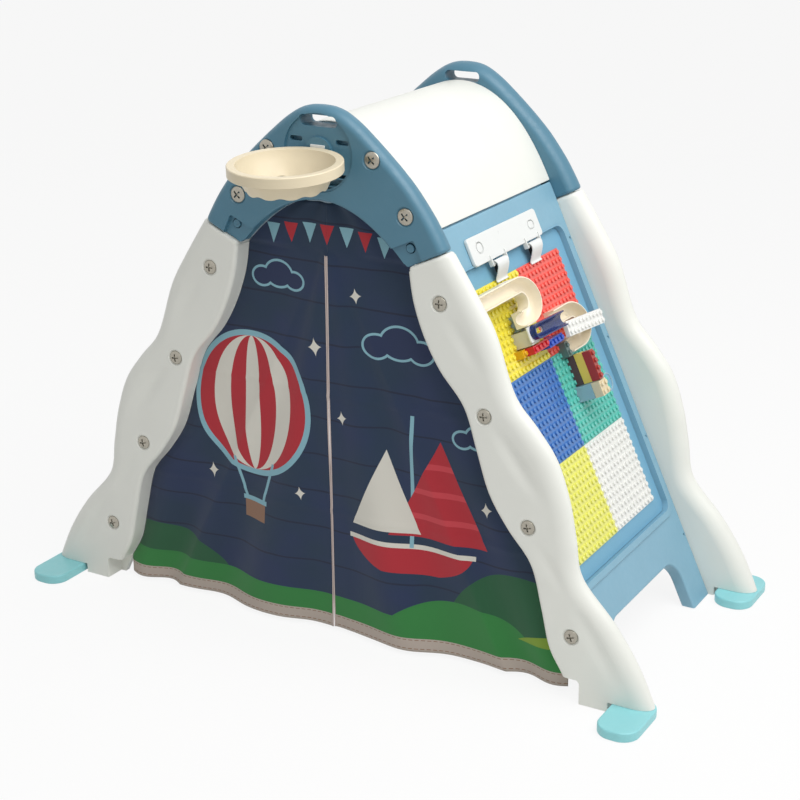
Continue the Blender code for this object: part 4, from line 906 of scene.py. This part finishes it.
def woven_polyester():
    """Plain-woven polyester with dye-printed colours: matt, with a soft sheen. The picture is drawn on the
    cloth's own flat coordinates, in metres across and up. A 0.5 mm thread is drawn at 2 mm to show."""
    made = bpy.data.materials.new("printed woven polyester")
    made.use_nodes = True
    tree = made.node_tree
    shader = tree.nodes["Principled BSDF"]
    flat = add(tree, "ShaderNodeUVMap", uv_map="flat cloth").outputs["UV"]
    place = add(tree, "ShaderNodeSeparateXYZ", {"Vector": flat})
    x, z = place.outputs["X"], place.outputs["Y"]
    shade = add(tree, "ShaderNodeTexNoise", {"Vector": flat, "Scale": 1 / 0.16, "Detail": 2.0})
    wave = add(tree, "ShaderNodeMath", {0: shade.outputs["Fac"], 1: 0.020, 2: z}, operation="MULTIPLY_ADD")
    board_at = add(tree, "ShaderNodeMath", {0: wave.outputs[0], 1: 0.080}, operation="MODULO")
    line = add(tree, "ShaderNodeMath", {0: board_at.outputs[0], 1: 0.0035}, operation="LESS_THAN")
    ground = add(tree, "ShaderNodeMapRange", {"Value": shade.outputs["Fac"], "From Min": 0.4, "From Max": 0.62})
    navy = add(tree, "ShaderNodeMix", {"Factor": ground.outputs["Result"], 6: srgb("1c3148"),
                                       7: srgb("1f2f50")}, data_type="RGBA")
    picture = [navy.outputs[2]]

    def paint(colour, mask):
        """Lays one printed colour over what is there, where the mask is 1."""
        over = add(tree, "ShaderNodeMix", {"Factor": mask, 6: picture[0], 7: srgb(PRINT[colour])},
                   data_type="RGBA")
        picture[0] = over.outputs[2]

    def seen_from(centre, halves, turn=0.0):
        """The flat coordinates moved, turned and scaled so that a motif lies within 1 of its centre."""
        moved = add(tree, "ShaderNodeVectorMath", {0: flat, 1: (*centre, 0)}, operation="SUBTRACT")
        spun = add(tree, "ShaderNodeVectorRotate", {"Vector": moved.outputs[0], "Angle": -math.radians(turn)},
                   rotation_type="Z_AXIS")
        sized = add(tree, "ShaderNodeVectorMath", {0: spun.outputs[0], 1: (*halves, 1)}, operation="DIVIDE")
        return sized.outputs[0]

    def oval(centre, halves, turn=0.0):
        far = add(tree, "ShaderNodeVectorMath", {0: seen_from(centre, halves, turn)}, operation="LENGTH")
        return add(tree, "ShaderNodeMath", {0: far.outputs["Value"], 1: 1.0}, operation="LESS_THAN").outputs[0]

    def rectangle(centre, halves, turn=0.0):
        size = add(tree, "ShaderNodeVectorMath", {0: seen_from(centre, halves, turn)}, operation="ABSOLUTE")
        parts = add(tree, "ShaderNodeSeparateXYZ", {"Vector": size.outputs[0]})
        widest = add(tree, "ShaderNodeMath", {0: parts.outputs["X"], 1: parts.outputs["Y"]},
                     operation="MAXIMUM")
        return add(tree, "ShaderNodeMath", {0: widest.outputs[0], 1: 1.0}, operation="LESS_THAN").outputs[0]

    def triangle(centre, halves, turn=0.0):
        """An upright triangle whose base and tip lie one half below and above its centre."""
        parts = add(tree, "ShaderNodeSeparateXYZ", {"Vector": seen_from(centre, halves, turn)})
        out = add(tree, "ShaderNodeMath", {0: parts.outputs["X"]}, operation="ABSOLUTE")
        slant = add(tree, "ShaderNodeMath", {0: out.outputs[0], 1: 2.0, 2: parts.outputs["Y"]},
                    operation="MULTIPLY_ADD")
        under = add(tree, "ShaderNodeMath", {0: slant.outputs[0], 1: 1.0}, operation="LESS_THAN")
        above = add(tree, "ShaderNodeMath", {0: parts.outputs["Y"], 1: -1.0}, operation="GREATER_THAN")
        return both(under.outputs[0], above.outputs[0])

    def sparkle(centre, halves, turn=0.0):
        """A star with four drawn-in points."""
        size = add(tree, "ShaderNodeVectorMath", {0: seen_from(centre, halves, turn)}, operation="ABSOLUTE")
        parts = add(tree, "ShaderNodeSeparateXYZ", {"Vector": size.outputs[0]})
        thin = [add(tree, "ShaderNodeMath", {0: parts.outputs[axis], 1: 0.62}, operation="POWER")
                for axis in ("X", "Y")]
        whole = add(tree, "ShaderNodeMath", {0: thin[0].outputs[0], 1: thin[1].outputs[0]}, operation="ADD")
        return add(tree, "ShaderNodeMath", {0: whole.outputs[0], 1: 1.0}, operation="LESS_THAN").outputs[0]

    def both(first, second):
        return add(tree, "ShaderNodeMath", {0: first, 1: second}, operation="MULTIPLY").outputs[0]

    paint("line", line.outputs[0])
    # Hills along the ground, under everything else
    for colour, centre, halves in (("deep green", (0.42, 0.02), (0.17, 0.20)),
                                   ("green", (0.30, 0.0), (0.19, 0.13)),
                                   ("lime", (0.50, 0.0), (0.13, 0.105)),
                                   ("deep green", (-0.44, 0.0), (0.20, 0.15))):
        paint(colour, oval(centre, halves))
    # A striped balloon on the left
    balloon, across_balloon = (-0.19, 0.470), 0.135
    paint("sky", oval(balloon, (across_balloon + 0.012, across_balloon + 0.022)))
    whole = oval(balloon, (across_balloon, across_balloon + 0.010))
    paint("red", whole)
    for share, colour in ((0.72, "cream"), (0.42, "red"), (0.14, "cream")):
        paint(colour, both(whole, oval(balloon, (across_balloon * share, across_balloon + 0.010))))
    for lean in (-1, 1):
        paint("sky", rectangle((balloon[0] + lean * 0.036, 0.300), (0.0035, 0.048), -lean * 16))
    paint("tan", rectangle((balloon[0], 0.235), (0.030, 0.022)))
    paint("sky", rectangle((balloon[0], 0.256), (0.034, 0.005)))
    # A sailing boat on the right
    paint("red", both(rectangle((0.185, 0.205), (0.135, 0.030)), oval((0.185, 0.240), (0.135, 0.072))))
    paint("cream", rectangle((0.185, 0.233), (0.140, 0.005)))
    paint("sky", rectangle((0.185, 0.370), (0.004, 0.140)))
    sail = triangle((0.245, 0.360), (0.105, 0.105))
    paint("red", sail)
    for step in range(3):
        paint("light red", both(sail, rectangle((0.245, 0.300 + 0.055 * step), (0.11, 0.006))))
    paint("cream", triangle((0.128, 0.345), (0.075, 0.085)))
    # Clouds, drawn in outline
    for cx, cz, size in ((0.155, 0.640, 1.0), (-0.120, 0.745, 0.8), (0.330, 0.480, 0.7)):
        puffs = [((cx + dx * size, cz + dz * size), (rx * size, rx * size * 0.8))
                 for dx, dz, rx in ((-0.050, 0, 0.030), (0, 0.012, 0.042), (0.048, 0, 0.028))]
        for colour, grown in (("sky", 0.005), ("navy", 0.0)):
            for centre, (rx, rz) in puffs:
                paint(colour, oval(centre, (rx + grown - 0.002, rz + grown - 0.002)))
    # Stars, and a row of flags under the arch
    for sx, sz, size in ((-0.03, 0.62, 0.016), (0.06, 0.735, 0.013), (-0.30, 0.300, 0.014),
                         (0.35, 0.345, 0.013), (-0.07, 0.300, 0.012), (0.03, 0.480, 0.012)):
        paint("cream", sparkle((sx, sz), (size, size * 1.3), 8))
    for flag in range(-3, 4):
        paint("sky" if flag % 2 else "red", triangle((flag * 0.042, 0.862 - 0.7 * (flag * 0.042) ** 2 - 0.012),
                                                     (0.016, 0.020), 180))
    # Along the bottom a green band, then the beige tape with its two rows of stitches
    for colour, top in (("green", 0.082), ("beige", 0.038)):
        paint(colour, add(tree, "ShaderNodeMath", {0: z, 1: top}, operation="LESS_THAN").outputs[0])
    along = add(tree, "ShaderNodeMath", {0: x, 1: 0.006}, operation="PINGPONG")
    stitch = add(tree, "ShaderNodeMath", {0: along.outputs[0], 1: 0.0040}, operation="LESS_THAN").outputs[0]
    for height in (0.0345, 0.016):
        paint("tan", both(stitch, rectangle((0.0, height), (1.0, 0.0008))))
    threads = []
    for direction in ("X", "Y"):
        thread = add(tree, "ShaderNodeTexWave", {"Vector": flat, "Scale": 1 / 0.002 / 6.2832,
                                                 "Distortion": 0.4}, bands_direction=direction)
        threads.append(thread.outputs["Fac"])
    weave = add(tree, "ShaderNodeMath", {0: threads[0], 1: threads[1]}, operation="MAXIMUM")
    bump = add(tree, "ShaderNodeBump", {"Height": weave.outputs[0], "Strength": 0.12, "Distance": 0.0004})
    wire(tree, shader, {"Base Color": picture[0], "Normal": bump.outputs["Normal"], "Roughness": 0.82,
                        "Sheen Weight": 0.15})
    return made


CLOTH = woven_polyester()
PIPING = moulded_polyethylene("pale woven piping", "c9b9b4", 0.8)


def cloth_half(side, label):
    """Half of the front, from the slit to the leg and from the arch to the floor, as one hanging sheet."""
    bm = bmesh.new()
    layer = bm.loops.layers.uv.new("flat cloth")
    flat = {}
    grid = []
    for j in range(CLOTH_ROWS + 1):
        z = CLOTH_HEM_Z + (cloth_top_z - CLOTH_HEM_Z) * j / CLOTH_ROWS
        near = SLIT_HALF if z < CLOTH_TOP_Z - 0.004 else 0.0
        far = leg_inner_x(z) - 0.002
        row = []
        for i in range(CLOTH_COLUMNS + 1):
            x = near + (far - near) * i / CLOTH_COLUMNS
            vert = bm.verts.new((side * x, FRONT_Y + HINGE_Y + cloth_depth(side, x, z), z))
            flat[vert] = (side * x, z)
            row.append(vert)
        grid.append(row)
    for lower, upper in zip(grid, grid[1:]):
        for i in range(CLOTH_COLUMNS):
            face = bm.faces.new((lower[i], lower[i + 1], upper[i + 1], upper[i]))
            face.smooth = True
            for loop in face.loops:
                loop[layer].uv = flat[loop.vert]
    half = piece_of(f"cloth_front_{label}", bm, Matrix.Identity(4))
    half.data.materials.append(CLOTH)
    thin = half.modifiers.new("cloth thickness", "SOLIDIFY")
    thin.thickness, thin.offset = 0.0008, 0
    return half


def slit_piping(side, label):
    """A thin folded tape sewn over the cut edge."""
    rows = []
    for j in range(PIPING_ROWS + 1):
        z = CLOTH_HEM_Z + (CLOTH_TOP_Z - 0.002 - CLOTH_HEM_Z) * j / PIPING_ROWS
        y = FRONT_Y + HINGE_Y + cloth_depth(side, SLIT_HALF, z)
        rows.append([(*point, z) for point in circle(side * 0.0019, y, PIPING_RADIUS, 8)])
    piping = loft(f"slit_piping_{label}", rows, Matrix.Identity(4))
    for face in piping.data.polygons:
        face.use_smooth = len(face.vertices) == 4
    piping.data.materials.append(PIPING)
    return piping


for side, label in HANDS:
    half, piping = cloth_half(side, label), slit_piping(side, label)
    for piece in (half, piping):
        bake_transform(piece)
    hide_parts(f"cloth_door_{label}", f"cloth_side_{label}", "cloth_top")

# Studio: a pale matt floor that keeps the soft shadow, one large soft lamp overhead and an even white
# surround. Floor and surround show near white by themselves, so no lamp is turned up for them.
FLOOR, tree, shader, place = started("pale studio floor")
wire(tree, shader, {"Base Color": srgb("f2f2f0"), "Roughness": 0.9, "Specular IOR Level": 0.2})


def seen_as_white(tree, low, high):
    """The low value for the light that falls on the object, and the high one where a ray shows it."""
    ray = add(tree, "ShaderNodeLightPath").outputs
    shown = ray["Is Camera Ray"]
    for kind in ("Is Glossy Ray", "Is Transmission Ray"):
        shown = add(tree, "ShaderNodeMath", {0: shown, 1: ray[kind]}, operation="MAXIMUM").outputs[0]
    return add(tree, "ShaderNodeMapRange", {"Value": shown, "To Min": low, "To Max": high}).outputs["Result"]


glow = add(tree, "ShaderNodeEmission", {"Color": (1, 1, 1, 1), "Strength": 1.0})
lit = add(tree, "ShaderNodeMixShader", {0: seen_as_white(tree, 0.0, 0.88), 1: shader.outputs[0],
                                        2: glow.outputs[0]})
wire(tree, tree.nodes["Material Output"], {"Surface": lit.outputs[0]})
bm = bmesh.new()
bm.faces.new([bm.verts.new((*corner, 0)) for corner in sharp_box(-15, 15, -15, 15)])
floor = piece_of("studio_floor", bm, Matrix.Identity(4))
floor.data.materials.append(FLOOR)
world = bpy.data.worlds.new("studio surround")
world.use_nodes = True
bpy.context.scene.world = world
tree = world.node_tree
wire(tree, tree.nodes["Background"], {"Color": (1, 1, 1, 1), "Strength": seen_as_white(tree, 0.42, 1.0)})
LAMP_SPOT, LAMP_SIZE, LAMP_WATTS, AIM = Vector((1.8, -0.5, 3.4)), 3.0, 105, Vector((0, MIDDLE_Y, 0.5))
lamp = bpy.data.lights.new("key", "AREA")
lamp.size, lamp.energy = LAMP_SIZE, LAMP_WATTS
holder = bpy.data.objects.new("key", lamp)
bpy.context.scene.collection.objects.link(holder)
holder.location = LAMP_SPOT
holder.rotation_euler = (LAMP_SPOT - AIM).to_track_quat("Z", "Y").to_euler()

CAMERA_X, CAMERA_AHEAD, CAMERA_Z = 1.7642, 2.76633, 1.70228
YAW, PITCH, ROLL, LENS = math.radians(29.84), math.radians(-19.82), math.radians(-0.13), 79.33
camera = bpy.data.cameras.new("photograph")
camera.lens, camera.sensor_width = LENS, 36
holder = bpy.data.objects.new("photograph", camera)
bpy.context.scene.collection.objects.link(holder)
forward = Vector((-math.sin(YAW) * math.cos(PITCH), math.cos(YAW) * math.cos(PITCH), math.sin(PITCH)))
level_right = Vector((math.cos(YAW), math.sin(YAW), 0))
level_up = level_right.cross(forward)
right = level_right * math.cos(ROLL) + level_up * math.sin(ROLL)
up = level_up * math.cos(ROLL) - level_right * math.sin(ROLL)
turn = Matrix((right, up, -forward)).transposed().to_4x4()
holder.matrix_world = Matrix.Translation((CAMERA_X, FRONT_Y - CAMERA_AHEAD, CAMERA_Z)) @ turn
bpy.context.scene.camera = holder
bpy.context.scene.view_settings.view_transform = "Standard"

bpy.context.view_layer.update()
